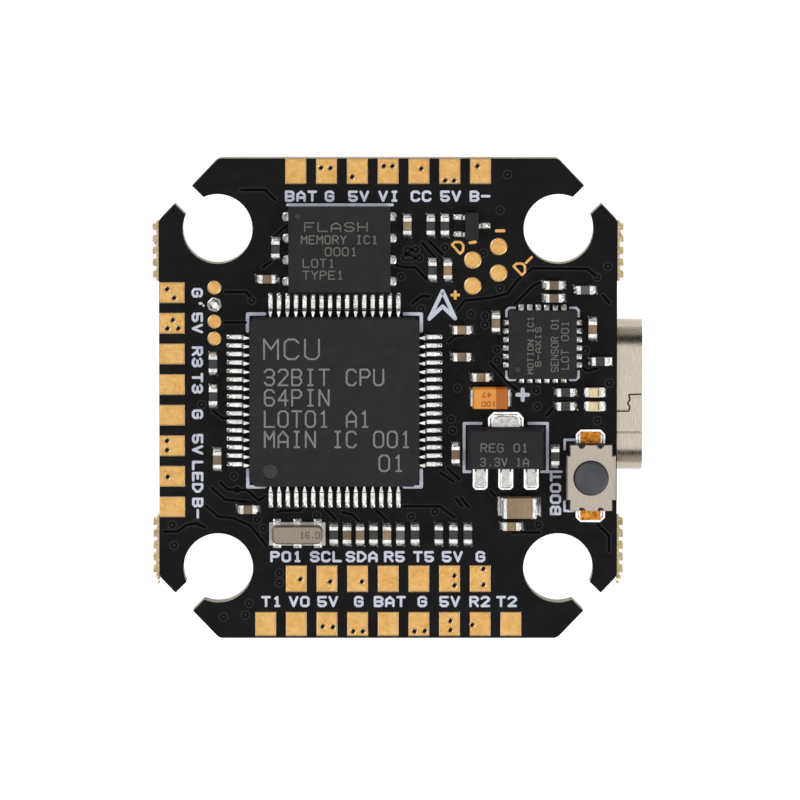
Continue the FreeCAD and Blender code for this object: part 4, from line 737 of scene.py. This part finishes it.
def bead_into(bm, low, high, package):
    """A cut-cornered bead of solder along the part of a land that sticks out past its package."""
    package_low, package_high = box_mm(package)
    side = 1 if low.y + high.y > package_low.y + package_high.y else -1
    start = package_high.y if side > 0 else package_low.y
    left, right = low.x + BEAD_WIDE / 2, high.x - BEAD_WIDE / 2
    end = (high.y if side > 0 else low.y) - side * BEAD_WIDE / 2
    cut = CUT_SHARE * (high.x - low.x)
    chain_into(bm, [(left, start), (left, end - side * cut), (left + cut, end), (right - cut, end),
                    (right, end - side * cut), (right, start)], BEAD_WIDE, TOP, BEAD_HIGH)


beads = bmesh.new()
for low, high in solids_mm("solder_lands"):
    name = nearest_terminal(low, high).name
    if name in BEADED:
        bead_into(beads, low, high, BEADED[name])
outward_piece("solder_beads", beads, SOLDER)

# %% [markdown]
# ## Gold lands with rolled rims
# The mask stops a hair outside each land and the plating is thicker along the edge, so a bare land shows as
# a flat satin field inside a thin bead, which is given a paler gold as a painted highlight. Insetting the
# top face twice gives that ring its own geometry, also round every drilled hole, and lifting the middle loop
# rounds it.


# %% Lands and rims
RIM_WIDE, RIM_LIFT = 0.06, 0.012


def rimmed(node):
    """A copy of the lands in a CAD node with a bead along every edge."""
    bm = copy_mm(node)
    level = max(vert.co.z for vert in bm.verts)
    field = [face for face in bm.faces
             if face.normal.z > UPRIGHT and face.calc_center_median().z > level - 0.01]
    outer, inner = [bmesh.ops.inset_region(bm, faces=field, thickness=RIM_WIDE / 2, depth=0.0,
                                           use_boundary=True, use_even_offset=True)["faces"]
                    for _ in range(2)]
    field_now = {vert for face in field for vert in face.verts}
    ring_verts = {vert for face in outer for vert in face.verts} & {
        vert for face in inner for vert in face.verts}
    for vert in ring_verts - field_now:
        vert.co.z += RIM_LIFT
    for face in bm.faces:
        face.material_index = 0
    # the ring faces take the paler gold, a painted highlight
    for face in list(outer) + list(inner):
        face.material_index = 1
    piece = new_piece(node + "_rimmed", bm, GOLD)
    piece.data.materials.append(GOLD_RIM_HIGHLIGHT)
    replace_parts(piece, node)


for node_name in ("edge_pads", "inner_pads", "round_pads"):
    rimmed(node_name)

# %% [markdown]
# ## Copper seen through the mask
# A screened mask drapes over the copper and sinks between traces, so on a real board the wiring shows
# as dark narrow valleys and soft ridges. Here every visible run is a low bar with 45 degree bends and a
# narrower, darker one along its middle, and a plugged via is a shallow ring. They are about a hundredth of
# a millimetre high. The ridges have the mask's colour where it is stretched thin over the copper. The
# narrower bars stand a little higher and are near-black: partly the mask where it pools over bare laminate,
# partly painted shade that stands for the valley between runs.


# %% Mask over the copper
def relief_ink(name, dark, light, gloss):
    """The same mask stretched thin over the copper, or near-black in a valley: pooled mask and painted
    shade.
    """
    return grained(name, dark, light, 0.3, (0.35, 0.5, 0.2), IOR=1.5, Specular_IOR_Level=gloss)


# Near-black valley mask: partly pooled mask, partly painted shade of the valley.
VALLEY_PAINTED_SHADE = relief_ink("mask_in_valleys", "#020203", "#070708", 0.04)
OVER_COPPER = relief_ink("mask_over_copper", "#18181A", "#212124", 0.24)
print("mask finishes:", VALLEY_PAINTED_SHADE.name, OVER_COPPER.name)


# %% Runs of copper and vias on the component side
TOP_RUNS = [
    [(-9.55, 6.3), (-8.35, 6.3), (-8.1, 6.05)], [(-9.65, 4.5), (-8.35, 4.5)],
    [(-7.35, 7.75), (-6.6, 8.3)], [(-6.7, 9.55), (-5.95, 10.2)],
    [(-10.4, -5.25), (-9.6, -5.95), (-8.2, -6.1)],
    [(-9.85, -4.95), (-9.45, -5.35), (-8.3, -5.4), (-7.6, -6.0), (-7.2, -5.75)],
    [(-10.75, -6.3), (-10.0, -6.95), (-9.1, -7.05), (-8.1, -7.5), (-7.15, -8.7)],
    [(-13.2, -7.85), (-12.4, -7.85), (-11.85, -7.45), (-11.3, -7.35), (-10.75, -7.6)],
    [(-6.55, -6.7), (-6.3, -6.6), (-5.2, -6.6), (-5.0, -6.45)], [(-3.7, -6.5), (-3.05, -7.15)],
    [(-2.7, -6.7), (-2.1, -6.85), (-1.75, -7.2)], [(-0.8, -6.5), (-0.05, -7.2)],
    [(-10.3, -0.7), (-9.7, -1.15), (-9.4, -1.15)],
    [(1.4, 5.6), (1.95, 6.05), (2.45, 6.05)],
    [(4.05, 5.2), (4.5, 5.8), (6.0, 5.95), (7.0, 6.2), (7.6, 7.0), (8.5, 7.7), (11.7, 7.65),
     (12.2, 7.25)],
    [(12.6, 6.1), (13.0, 5.65)], [(7.45, 5.6), (8.55, 6.7), (8.9, 6.85)],
    [(0.1, 7.95), (1.0, 7.75), (1.6, 7.75), (2.3, 7.0)], [(2.0, 9.2), (2.9, 8.15)],
    [(2.4, 9.3), (3.2, 8.5)], [(3.55, 3.35), (3.9, 3.7), (4.4, 3.75)],
    [(6.0, 2.1), (6.55, 1.55), (7.0, 1.0), (7.6, 0.5)], [(11.05, 2.1), (11.7, 1.65), (12.3, 1.8)],
    [(0.85, -6.35), (3.05, -6.35), (3.9, -7.0)], [(4.0, -5.9), (4.35, -6.35)],
    [(4.3, -5.85), (4.75, -6.4)], [(3.05, -4.35), (3.85, -4.9)], [(3.5, -4.1), (4.2, -4.75)],
    [(7.3, -7.9), (8.9, -7.9)], [(6.0, -5.45), (6.3, -5.75)], [(9.3, -1.0), (9.7, -0.55), (10.6, -0.55)],
    [(-8.6, 12.3), (-7.2, 12.3), (-6.6, 11.7)], [(12.3, -7.4), (13.0, -8.1), (13.0, -9.0)],
]
VIAS = [
    (-8.0, 5.8), (-8.88, -5.38), (-11.3, -7.36), (-12.7, -7.45), (-9.06, -4.57), (-12.6, -8.66),
    (-8.18, -12.1), (-8.4, -12.8), (-9.7, -12.9), (-6.4, -10.3), (-6.4, -10.88), (-7.7, -7.15),
    (-7.34, -7.67), (-4.2, -6.9), (-10.95, -0.35), (7.0, 13.2), (6.57, 11.1), (12.9, 7.8),
    (12.26, 7.16), (3.34, 8.9), (1.14, 8.75), (1.62, 8.8), (1.0, 8.3), (1.36, 8.3), (1.84, 8.3),
    (0.77, 7.2), (5.6, 8.6), (6.57, 6.5), (4.88, 5.0), (1.94, 5.3), (5.7, 4.88), (5.7, 4.36),
    (6.4, 2.9), (6.4, 2.25), (8.7, 0.5), (4.07, 0.63), (11.6, 2.85), (13.0, 0.93), (3.7, -1.2),
    (3.8, -1.87), (1.36, -6.96), (2.75, -6.67), (8.77, -0.46), (12.3, -1.28), (8.85, -7.45),
]
print(len(TOP_RUNS), "runs and", len(VIAS), "vias")


# %% Runs of copper on the underside
UNDER_RUNS = [
    [(-11.9, 5.2), (-12.4, 5.7), (-12.4, 7.6), (-12.9, 8.1)], [(-11.9, 4.6), (-12.8, 5.5), (-12.8, 7.0)],
    [(-4.7, 2.6), (-3.6, 2.6), (-2.6, 1.6), (-0.6, 1.6), (0.4, 2.6), (5.6, 2.6), (6.3, 1.9)],
    [(-4.7, 1.95), (-3.9, 1.95), (-2.9, 0.95), (-0.4, 0.95)],
    [(-4.7, -0.6), (-3.4, -0.6), (-2.6, -1.4), (-2.6, -5.6), (-3.4, -6.4), (-3.4, -8.2)],
    [(-4.7, -1.25), (-3.9, -1.25), (-3.3, -1.85), (-3.3, -5.2), (-4.4, -6.3), (-4.4, -7.6)],
    [(-1.5, -8.2), (-1.5, -7.0), (-0.6, -6.1), (0.6, -6.1)],
    [(-0.5, -8.2), (-0.5, -7.4), (0.2, -6.7), (5.6, -6.7), (6.3, -6.0), (6.3, -3.2)],
    [(0.5, -8.2), (0.5, -7.7), (0.9, -7.3), (6.4, -7.3), (7.4, -6.3)],
    [(2.6, 8.0), (2.6, 6.4), (3.4, 5.6), (6.4, 5.6)], [(-3.0, 6.6), (-3.0, 8.6), (-2.2, 9.4), (-1.0, 9.4)],
    [(-5.6, 8.8), (-4.6, 9.8), (-4.6, 12.0), (-3.8, 12.8), (3.6, 12.8)],
    [(6.0, 9.6), (7.0, 8.6), (7.0, 6.4)], [(6.0, 10.2), (7.6, 8.6), (7.6, 6.6)],
]
print(len(UNDER_RUNS), "runs below")


# %% Ridges, valleys and rings on both sides
RIDGE_HIGH, RIDGE_WIDE, VALLEY_WIDE = 0.018, 0.3, 0.16
VIA_RADIUS, VIA_HOLE = 0.22, 0.1


def ring_into(bm, centre, outer, inner, high, face=1.0, sides=20):
    """A flat washer standing on centre, or hanging from it where face is -1."""
    profile = [(inner, 0), (outer, 0), (outer, face * high), (inner, face * high)]
    corners = [bm.verts.new((centre[0] + x, centre[1], centre[2] + z)) for x, z in profile]
    edges = [bm.edges.new((corners[at], corners[at - 1])) for at in range(4)]
    bmesh.ops.spin(bm, geom=corners + edges, cent=centre, axis=(0, 0, 1), angle=math.tau,
                   steps=sides, use_merge=True)


# the valley bars and via rings carry the near-black painted shade
ridges, valley_shade = bmesh.new(), bmesh.new()
for runs, level, face in ((TOP_RUNS, TOP, 1.0), (UNDER_RUNS, 0.0, -1.0)):
    for run in runs:
        chain_into(ridges, run, RIDGE_WIDE, level, RIDGE_HIGH * 0.4, face=face)
        chain_into(valley_shade, run, VALLEY_WIDE, level, RIDGE_HIGH * 0.9, face=face)
    for x, y in VIAS:
        ring_into(ridges, (x, y, level), VIA_RADIUS + 0.07, VIA_RADIUS - 0.03, RIDGE_HIGH * 0.7, face)
        ring_into(valley_shade, (x, y, level), VIA_RADIUS - 0.03, VIA_HOLE, RIDGE_HIGH * 0.5, face)
        disc_into(ridges, (x, y, level), VIA_HOLE, RIDGE_HIGH * 0.8, 16, face)
outward_piece("copper_ridges", ridges, OVER_COPPER)
outward_piece("mask_valleys", valley_shade, VALLEY_PAINTED_SHADE)

# %% [markdown]
# ## Printed words and signs
# Screened ink stands a hair above the mask and has soft round corners. A text curve would be the quick way
# to write, but board lettering is plotted: each letter is a few strokes of one pen, all equally wide. So the
# script holds a small alphabet of pen strokes and lays flat bars with round joints along them, and a whole
# side of legends becomes one piece.


# %% A plotter alphabet
# Each letter is drawn on a grid of four by six steps. A pair of digits is a point, and a slash lifts the
# pen.
LETTERS = {
    "A": "00 04 26 44 40/02 42", "B": "00 06 36 45 44 33 42 41 30 00/03 33",
    "C": "45 36 16 05 01 10 30 41", "D": "00 06 26 44 42 20 00", "E": "46 06 00 40/03 33",
    "F": "46 06 00/03 33", "G": "45 36 16 05 01 10 30 41 43 23", "H": "00 06/40 46/03 43",
    "I": "16 36/26 20/10 30", "L": "06 00 40", "M": "00 06 23 46 40", "N": "00 06 40 46",
    "O": "01 05 16 36 45 41 30 10 01", "P": "00 06 36 45 44 33 03", "R": "00 06 36 45 44 33 03/23 40",
    "S": "45 36 16 05 04 13 33 42 41 30 10 01", "T": "06 46/26 20", "U": "06 01 10 30 41 46",
    "V": "06 20 46", "X": "00 46/06 40", "Y": "06 23 46/23 20", "0": "01 05 16 36 45 41 30 10 01",
    "1": "15 26 20/10 30", "2": "05 16 36 45 44 00 40", "3": "05 16 36 45 44 33 13/33 42 41 30 10 01",
    "4": "30 36 02 42", "5": "46 06 03 33 42 41 30 10 01", "6": "45 36 16 05 01 10 30 41 42 33 03",
    "7": "06 46 20", "8": "13 04 05 16 36 45 44 33 13 02 01 10 30 41 42 33",
    "-": "03 43", "+": "03 43/25 21", ".": "20 21", " ": "",
}
PRINTED, INK_HIGH = 0.15, 0.018     # the pen's width, and how high the ink stands
LABEL_CAP, LABEL_ADVANCE, LABEL_WIDE = 0.52, 0.66, 0.42


def word_into(bm, text, spot, cap, advance, wide, stroke, turn=0.0, high=INK_HIGH, face=1.0):
    """Plot a word centred on spot: cap, advance and letter width are from middle to middle of the line."""
    left = -(advance * (len(text) - 1) + wide) / 2
    angle = math.radians(turn)
    for place_number, letter in enumerate(text):
        for step, run in enumerate(LETTERS[letter].split("/")):
            points = []
            for pair in run.split():
                x = (left + advance * place_number + wide * int(pair[0]) / 4) * face
                y = cap * (int(pair[1]) / 6 - 0.5)
                points.append((spot[0] + x * math.cos(angle) - y * math.sin(angle),
                               spot[1] + x * math.sin(angle) + y * math.cos(angle)))
            if points:
                chain_into(bm, points, stroke, spot[2], high, step, face)


def label_into(bm, text, x, y, turn=0.0, level=TOP, face=1.0):
    """A land's label in the board's own wide lettering."""
    word_into(bm, text, (x, y, level), LABEL_CAP, LABEL_ADVANCE, LABEL_WIDE, PRINTED, turn, face=face)


print(len(LETTERS), "letters")


# %% Labels of the lands
def pad_centres(node, along, across, low, high):
    """Centres, along one axis, of the lands whose other coordinate is between two values."""
    middles = [(a + b) / 2 for a, b in solids_mm(node)]
    return sorted(m[along] for m in middles if low < m[across] < high)


legends = bmesh.new()
FRONT_LINE, INNER_LINE, REAR_LINE, LEFT_LINE = 11.93, -9.33, -11.99, -11.2
# Each word comes with how far it was set beside the middle of its land.
FRONT_WORDS = [("BAT", 0.31), ("G", 0.18), ("5V", 0.08), ("VI", 0.04), ("CC", 0.13), ("5V", 0.06),
               ("B-", -0.02)]
INNER_WORDS = [("PO1", -0.58), ("SCL", -0.05), ("SDA", 0.25), ("R5", 0.37), ("T5", 0.28), ("5V", 0.17),
               ("G", 0.02)]
REAR_WORDS = [("T1", 0.36), ("VO", 0.18), ("5V", 0.05), ("G", 0.08), ("BAT", 0.1), ("G", 0.21),
              ("5V", 0.02), ("R2", -0.02), ("T2", -0.24)]
LEFT_WORDS = [("G", -0.01), ("5V", 0.02), ("R3", -0.17), ("T3", 0.08), ("G", 0.05), ("5V", 0.08),
              ("LED", -0.03), ("B-", -0.08)]
rows = [(pad_centres("edge_pads", 0, 1, 10, 20), FRONT_LINE, FRONT_WORDS),
        (pad_centres("inner_pads", 0, 1, -12, -9), INNER_LINE, INNER_WORDS),
        (pad_centres("edge_pads", 0, 1, -20, -10), REAR_LINE, REAR_WORDS)]
for centres, y, words in rows:
    for x, (text, nudge) in zip(centres, words):
        label_into(legends, text, x + nudge, y)
left_column = pad_centres("edge_pads", 1, 0, -14, -11)[::-1]
for y, (text, nudge) in zip(left_column, LEFT_WORDS):
    label_into(legends, text, LEFT_LINE, y + nudge, turn=-90)
label_into(legends, "BOOT", 9.85, -5.6, turn=90)
print("labelled", sum(len(words) for _, _, words in rows) + len(LEFT_WORDS), "lands")


# %% Brackets, arrow and polarity signs
def line_into(bm, points, wide=PRINTED, step=0):
    chain_into(bm, points, wide, TOP, INK_HIGH, step)


def brackets_into(bm, node, gap, arm, wide, level=TOP, face=1.0):
    """The four printed corners that show where a package goes."""
    low, high = box_mm(node)
    for x, inward_x in ((low.x - gap, arm), (high.x + gap, -arm)):
        for y, inward_y in ((low.y - gap, arm), (high.y + gap, -arm)):
            corner = [(x + inward_x, y), (x, y), (x, y + inward_y)]
            chain_into(bm, corner, wide, level, INK_HIGH, face=face)


brackets_into(legends, "mcu_body", 0.1, 1.0, 0.2)
line_into(legends, [(-5.9, 11.42), (0.25, 11.42)], 0.17)                # rule behind the flash memory
line_into(legends, [(3.2, 6.35), (2.42, 4.72), (3.2, 5.45), (3.94, 4.74), (3.2, 6.35)], 0.23)   # arrow
line_into(legends, [(7.6, 0.24), (8.22, 0.24)], 0.24)                   # plus by the tantalum capacitor
line_into(legends, [(7.91, -0.07), (7.91, 0.55)], 0.24, 1)
regulator_low, regulator_high = box_mm("regulator_body")
for edge, inward, arm in ((regulator_low.x - 0.2, 1, 1.0), (regulator_high.x + 0.2, -1, 1.1)):
    line_into(legends, [(edge + inward * arm, -1.45), (edge, -1.45), (edge, -4.3),
                        (edge + inward * 0.35, -4.3)], 0.17)
gyro_low, gyro_high = box_mm("gyro_body")
for x, inward_x in ((gyro_low.x - 0.12, 1), (gyro_high.x + 0.12, -1)):
    for y, inward_y in ((gyro_low.y - 0.12, 1), (gyro_high.y + 0.12, -1)):
        line_into(legends, [(x + inward_x * 0.5, y), (x + inward_x * 0.15, y), (x, y + inward_y * 0.15),
                            (x, y + inward_y * 0.5)], 0.14)
for y, inward_y in ((-2.42, -1), (-6.62, 1)):
    line_into(legends, [(10.95, y), (10.38, y), (10.38, y + inward_y * 0.55)], 0.15)
line_into(legends, [(9.1, -4.3), (10.2, -4.3)], 0.15)
outward_piece("legends_top", legends, INK)

# %% Legends on the underside
under = bmesh.new()
for node_name in ("osd_chip_leads", "crystal_base", "buck_chip_leads", "inductor_terminals"):
    brackets_into(under, node_name, 0.45, 0.8, PRINTED, 0.0, -1.0)
for text, x, y in (("VIDEO", -8.3, -4.95), ("ESC", -7.3, -7.6), ("USB", 10.6, 6.6), ("5V", 6.6, -8.4),
                   ("FRONT", -0.4, 11.6), ("IN", -4.6, 8.2), ("OUT", 0.2, 7.4)):
    label_into(under, text, x, y, level=0.0, face=-1.0)
osd_low, osd_high = box_mm("osd_chip_leads")
esc_low, esc_high = box_mm("esc_socket_pins")
for x, y in ((osd_low.x - 0.1, osd_high.y + 0.35), (esc_low.x - 0.75, esc_high.y + 0.2)):
    disc_into(under, (x, y, 0.0), 0.2, INK_HIGH * 2, 20, -1.0)          # a dot beside each first pin
outward_piece("legends_under", under, INK)

# %% [markdown]
# ## Words etched in the gold
# Next to the four probe lands the copper itself is left bare in the shape of a letter, so those signs are
# gold and not white. They get the same gold as the lands.

# %% Gold signs by the probe lands
COPPER_HIGH = 0.035
signs = bmesh.new()
word_into(signs, "D", (4.16, 8.98, TOP), 0.7, 0.6, 0.48, 0.14, 42, COPPER_HIGH)
word_into(signs, "D-", (8.02, 7.95, TOP), 0.7, 0.66, 0.48, 0.14, 44, COPPER_HIGH)
for points, wide, step in (([(4.8, 9.2), (5.12, 9.24)], 0.18, 0), ([(6.35, 9.9), (6.8, 9.9)], 0.18, 0),
                           ([(3.74, 6.12), (4.14, 6.12)], 0.17, 0),
                           ([(3.94, 5.92), (3.94, 6.32)], 0.17, 1)):
    chain_into(signs, points, wide, TOP, COPPER_HIGH, step)
outward_piece("gold_signs", signs, GOLD)


# %% Laser marks on the packages
LETTER_SHARE = 0.68     # of the advance from one letter to the next is the letter itself
MARK_HIGH = 0.004


def laser_mark(name, dark, light):
    """Epoxy scorched by a laser: the filler is laid open, so the mark is paler and duller."""
    return grained(name, dark, light, 0.12, sand=(0.06, 0.01), IOR=1.5, Roughness=0.7)


def marked(name, node, lines, material, stroke, turn=0.0, face=1.0):
    """Words on a package: text, offset of its middle from the package's centre, cap height, advance."""
    bm = bmesh.new()
    low, high = box_mm(node)
    middle = centre_mm(node)
    level = high.z if face > 0 else low.z
    for text, x, y, cap, advance in lines:
        word_into(bm, text, (middle.x + x, middle.y + y, level), cap, advance, advance * LETTER_SHARE,
                  stroke, turn, MARK_HIGH, face)
    outward_piece(name, bm, material)


MARK = laser_mark("laser_scorched_epoxy", "#7C7C78", "#999994")
FAINT_MARK = laser_mark("faint_laser_mark", "#66655E", "#807E76")
marked("mcu_marks", "mcu_body", [
    ("MCU", -2.5, 3.15, 1.15, 1.2), ("32BIT CPU", -0.6, 1.5, 0.92, 0.8), ("64PIN", -2.2, 0.3, 0.92, 0.8),
    ("LOT01 A1", -1.0, -0.95, 0.92, 0.8), ("MAIN IC 001", 0.2, -2.15, 0.92, 0.8),
    ("01", 3.35, -3.55, 0.92, 0.85)], MARK, 0.11)
marked("flash_marks", "flash_body", [
    ("FLASH", -0.2, 1.35, 0.5, 0.78), ("MEMORY IC1", 0.0, 0.6, 0.46, 0.46), ("0001", 0.1, -0.1, 0.46, 0.5),
    ("LOT1", -1.2, -0.78, 0.46, 0.5), ("TYPE1", -0.95, -1.48, 0.46, 0.5)],
    FAINT_MARK, 0.075)
marked("gyro_marks", "gyro_body", [
    ("MOTION IC1", -0.72, 0.0, 0.32, 0.345), ("6-AXIS", -0.27, -0.1, 0.32, 0.4),
    ("SENSOR 01", 0.7, 0.0, 0.4, 0.36), ("LOT 001", 1.3, 0.0, 0.4, 0.42)],
    FAINT_MARK, 0.06, turn=90)
marked("regulator_marks", "regulator_body", [
    ("REG 01", -0.1, 0.12, 0.46, 0.48), ("3.3V 1A", -0.1, -0.72, 0.46, 0.42)],
    FAINT_MARK, 0.07)
marked("tantalum_marks", "tantalum_body", [("47", -0.2, 0.25, 0.24, 0.3), ("100", -0.1, -0.3, 0.26, 0.3)],
       laser_mark("printed_on_orange", "#A8590F", "#BF7424"), 0.06, turn=180)
marked("resonator_marks", "resonator_lid", [("16.0", 0.75, 0.0, 0.36, 0.3)],
       laser_mark("etched_nickel", "#544B44", "#6B6159"), 0.06)
marked("osd_marks", "osd_chip_body", [("VIDEO IC", 0.6, 0.0, 0.6, 0.62), ("LOT 01", -0.6, 0.0, 0.6, 0.62)],
       FAINT_MARK, 0.09, turn=90, face=-1.0)
marked("buck_marks", "buck_chip_body", [("5V", 0.0, 0.0, 0.5, 0.6)], FAINT_MARK, 0.08,
       turn=90, face=-1.0)


# %% [markdown]
# ## Seams, stripes and spilt solder
# A folded shell closes on itself in a dovetail, each lamp has a printed stripe that tells its two ends
# apart, and someone touched one probe land with a soldering iron. None of these is worth a solid in the
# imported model, and all of them catch the eye.

# %% Shell seams and lamp stripes
SEAM_WIDE, SEAM_HIGH = 0.09, 0.006
shell_high = box_mm("usb_shell")[1]
seams = bmesh.new()
mouth = shell_high.x - SEAM_WIDE
chain_into(seams, [(HALF_WIDE, -0.88), (14.2, -0.88), (14.26, -0.62), (14.12, -0.42), (14.26, -0.2),
                   (14.2, 0.1), (mouth, 0.12)], SEAM_WIDE, shell_high.z, SEAM_HIGH)
chain_into(seams, [(HALF_WIDE, -2.12), (mouth, -2.12)], SEAM_WIDE / 2, shell_high.z, SEAM_HIGH)
outward_piece("shell_seams", seams, SEAM)

stripes = bmesh.new()
for low, high in solids_mm("lamp_lenses"):
    block_into(stripes, (high.x - 0.12, (low.y + high.y) / 2, high.z + 0.002), (0.07, 0.36, 0.008))
new_piece("lamp_stripes", stripes, GREEN_INK)


# %% Spilt solder
def drop_into(bm, centre, size, dice):
    """A lumpy drop of solder about a centre, with its three half sizes."""
    matrix = Matrix.Translation(centre) @ Matrix.Diagonal((*size, 1.0))
    made = bmesh.ops.create_icosphere(bm, subdivisions=3, radius=1.0, matrix=matrix)
    phase = dice.uniform(0, math.tau)
    for vert in made["verts"]:
        away = vert.co - Vector(centre)
        lump = math.sin(14 * away.x + phase) * math.sin(13 * away.y - phase)
        vert.co = Vector(centre) + away * (1 + 0.12 * lump)


SPILT_ON = 2        # which round land was touched, counted from the left
spill_dice = random.Random(11)
spill = bmesh.new()
probe_low, probe_high = solids_mm("round_pads")[SPILT_ON]
probe = (probe_low + probe_high) / 2
for spot, size in (((probe.x, probe.y, TOP + 0.04), (0.44, 0.43, 0.14)),
                   ((-11.0, 5.62, TOP + 0.02), (0.13, 0.1, 0.06)),
                   ((-10.84, 5.5, TOP + 0.02), (0.07, 0.09, 0.05))):
    drop_into(spill, spot, size, spill_dice)
new_piece("spilt_solder", spill, SOLDER, smooth=True)

# %% [markdown]
# ## Torn edges of the panel
# The boards are milled in a panel and snapped apart, and the snapped tabs leave rows of small uneven
# teeth of raw laminate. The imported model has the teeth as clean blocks. Small rough blocks of torn
# resin and glass, seeded and kept inside the outline, break them up.

# %% Fibres on the snapped tabs
STUB_X = box_mm("circuit_board")[1].x
tab_dice = random.Random(7)
fibres = bmesh.new()
TAB_SPANS = [(-1, 7.0, 10.4), (1, 7.0, 9.9), (-1, -10.9, -7.6), (1, -10.9, -7.6)]
for side, start, end in TAB_SPANS:
    y = start
    while y < end:
        deep = tab_dice.uniform(0.05, STUB_X - HALF_WIDE - 0.08)
        wide = tab_dice.uniform(0.08, 0.22)
        low_z = tab_dice.uniform(0.1, 0.6)
        high_z = tab_dice.uniform(1.0, TOP - 0.03)
        block_into(fibres, (side * (HALF_WIDE + deep / 2), y, (low_z + high_z) / 2),
                   (deep, wide, high_z - low_z), 0.02, 1)
        y += wide + tab_dice.uniform(0.02, 0.22)
new_piece("torn_fibres", fibres, TORN)

# %% [markdown]
# ## The table, the light and the camera
# The board lies on its socket on a white table that glows a little from below, as a product table does.
# A large soft box hangs overhead, so that flat gold reads as gold, and two smaller ones at the sides pick
# out edges, fillets and leads. The camera is far away with a long lens, nearly straight above.

# %% Floor
floor_level = cad_box[0][2] - 0.02 * MM
FLOOR_HALF = 1.5        # metres
# White acrylic sheet lit from behind is pale everywhere, with the softest of shadows.
ACRYLIC = grained("lit_white_acrylic", "#F6F6F6", "#FAFAFA", 400.0, IOR=1.49, Roughness=0.45,
                  Specular_IOR_Level=0.2, Emission_Strength=0.8, Emission_Color=linear("#FFFFFF"))
floor = bmesh.new()
bmesh.ops.create_grid(floor, x_segments=2, y_segments=2, size=FLOOR_HALF,
                      matrix=Matrix.Translation((0, 0, floor_level)))
floor_mesh = bpy.data.meshes.new("table")
floor.to_mesh(floor_mesh)
floor.free()
table = bpy.data.objects.new("table", floor_mesh)
bpy.context.collection.objects.link(table)
floor_mesh.materials.append(ACRYLIC)
print("floor at", round(floor_level, 5), "m")


# %% Lamps
def softbox(name, spot, size, watts):
    """A square lamp of a side length in metres, turned to the middle of the board."""
    lamp = bpy.data.lights.new(name, "AREA")
    lamp.shape = "SQUARE"
    lamp.size = size
    lamp.energy = watts
    holder = bpy.data.objects.new(name, lamp)
    bpy.context.collection.objects.link(holder)
    holder.location = spot
    holder.rotation_euler = (-Vector(spot)).to_track_quat("-Z", "Y").to_euler()


softbox("overhead_box", (0.02, -0.12, 0.75), 0.5, 1.1)
softbox("right_box", (0.5, -0.3, 0.32), 0.3, 1.6)
softbox("left_box", (-0.45, 0.4, 0.36), 0.3, 1.3)


# %% Studio walls and ceiling
sky = bpy.data.worlds.new("studio")
bpy.context.scene.world = sky
sky.use_nodes = True
# Pale walls low down, a dark gap above them and a grey ceiling: curved metal needs all three to look bent.
ceiling = add(sky.node_tree, "ShaderNodeTexCoord").outputs["Generated"]
upward = add(sky.node_tree, "ShaderNodeSeparateXYZ", {"Vector": ceiling}).outputs["Z"]
ramp = add(sky.node_tree, "ShaderNodeValToRGB", {"Fac": upward})
STOPS = [(0.0, 0.75), (0.55, 0.6), (0.74, 0.04), (0.9, 0.04), (0.97, 0.3)]
while len(ramp.color_ramp.elements) < len(STOPS):
    ramp.color_ramp.elements.new(0.5)
for number, (height, light) in enumerate(STOPS):
    ramp.color_ramp.elements[number].position = height
    ramp.color_ramp.elements[number].color = (light, light, light, 1.0)
background = sky.node_tree.nodes["Background"]
sky.node_tree.links.new(ramp.outputs["Color"], background.inputs["Color"])
background.inputs["Strength"].default_value = 1.0
print("studio has", len(STOPS), "bands of light")

# %% Camera
LENS_DISTANCE, LEAN = 0.461, math.radians(5.2)
aim = Vector((0.70, -0.07, 1.6)) * MM
lens = bpy.data.cameras.new("camera")
lens.lens, lens.sensor_width = 353, 36
lens.clip_start = 0.01
camera = bpy.data.objects.new("camera", lens)
bpy.context.collection.objects.link(camera)
camera.location = aim + LENS_DISTANCE * Vector((0, math.sin(LEAN), math.cos(LEAN)))
camera.rotation_euler = (-LEAN, 0, 0)
bpy.context.scene.camera = camera
bpy.context.scene.view_settings.view_transform = "Standard"
print("camera at", [round(value, 4) for value in camera.location])
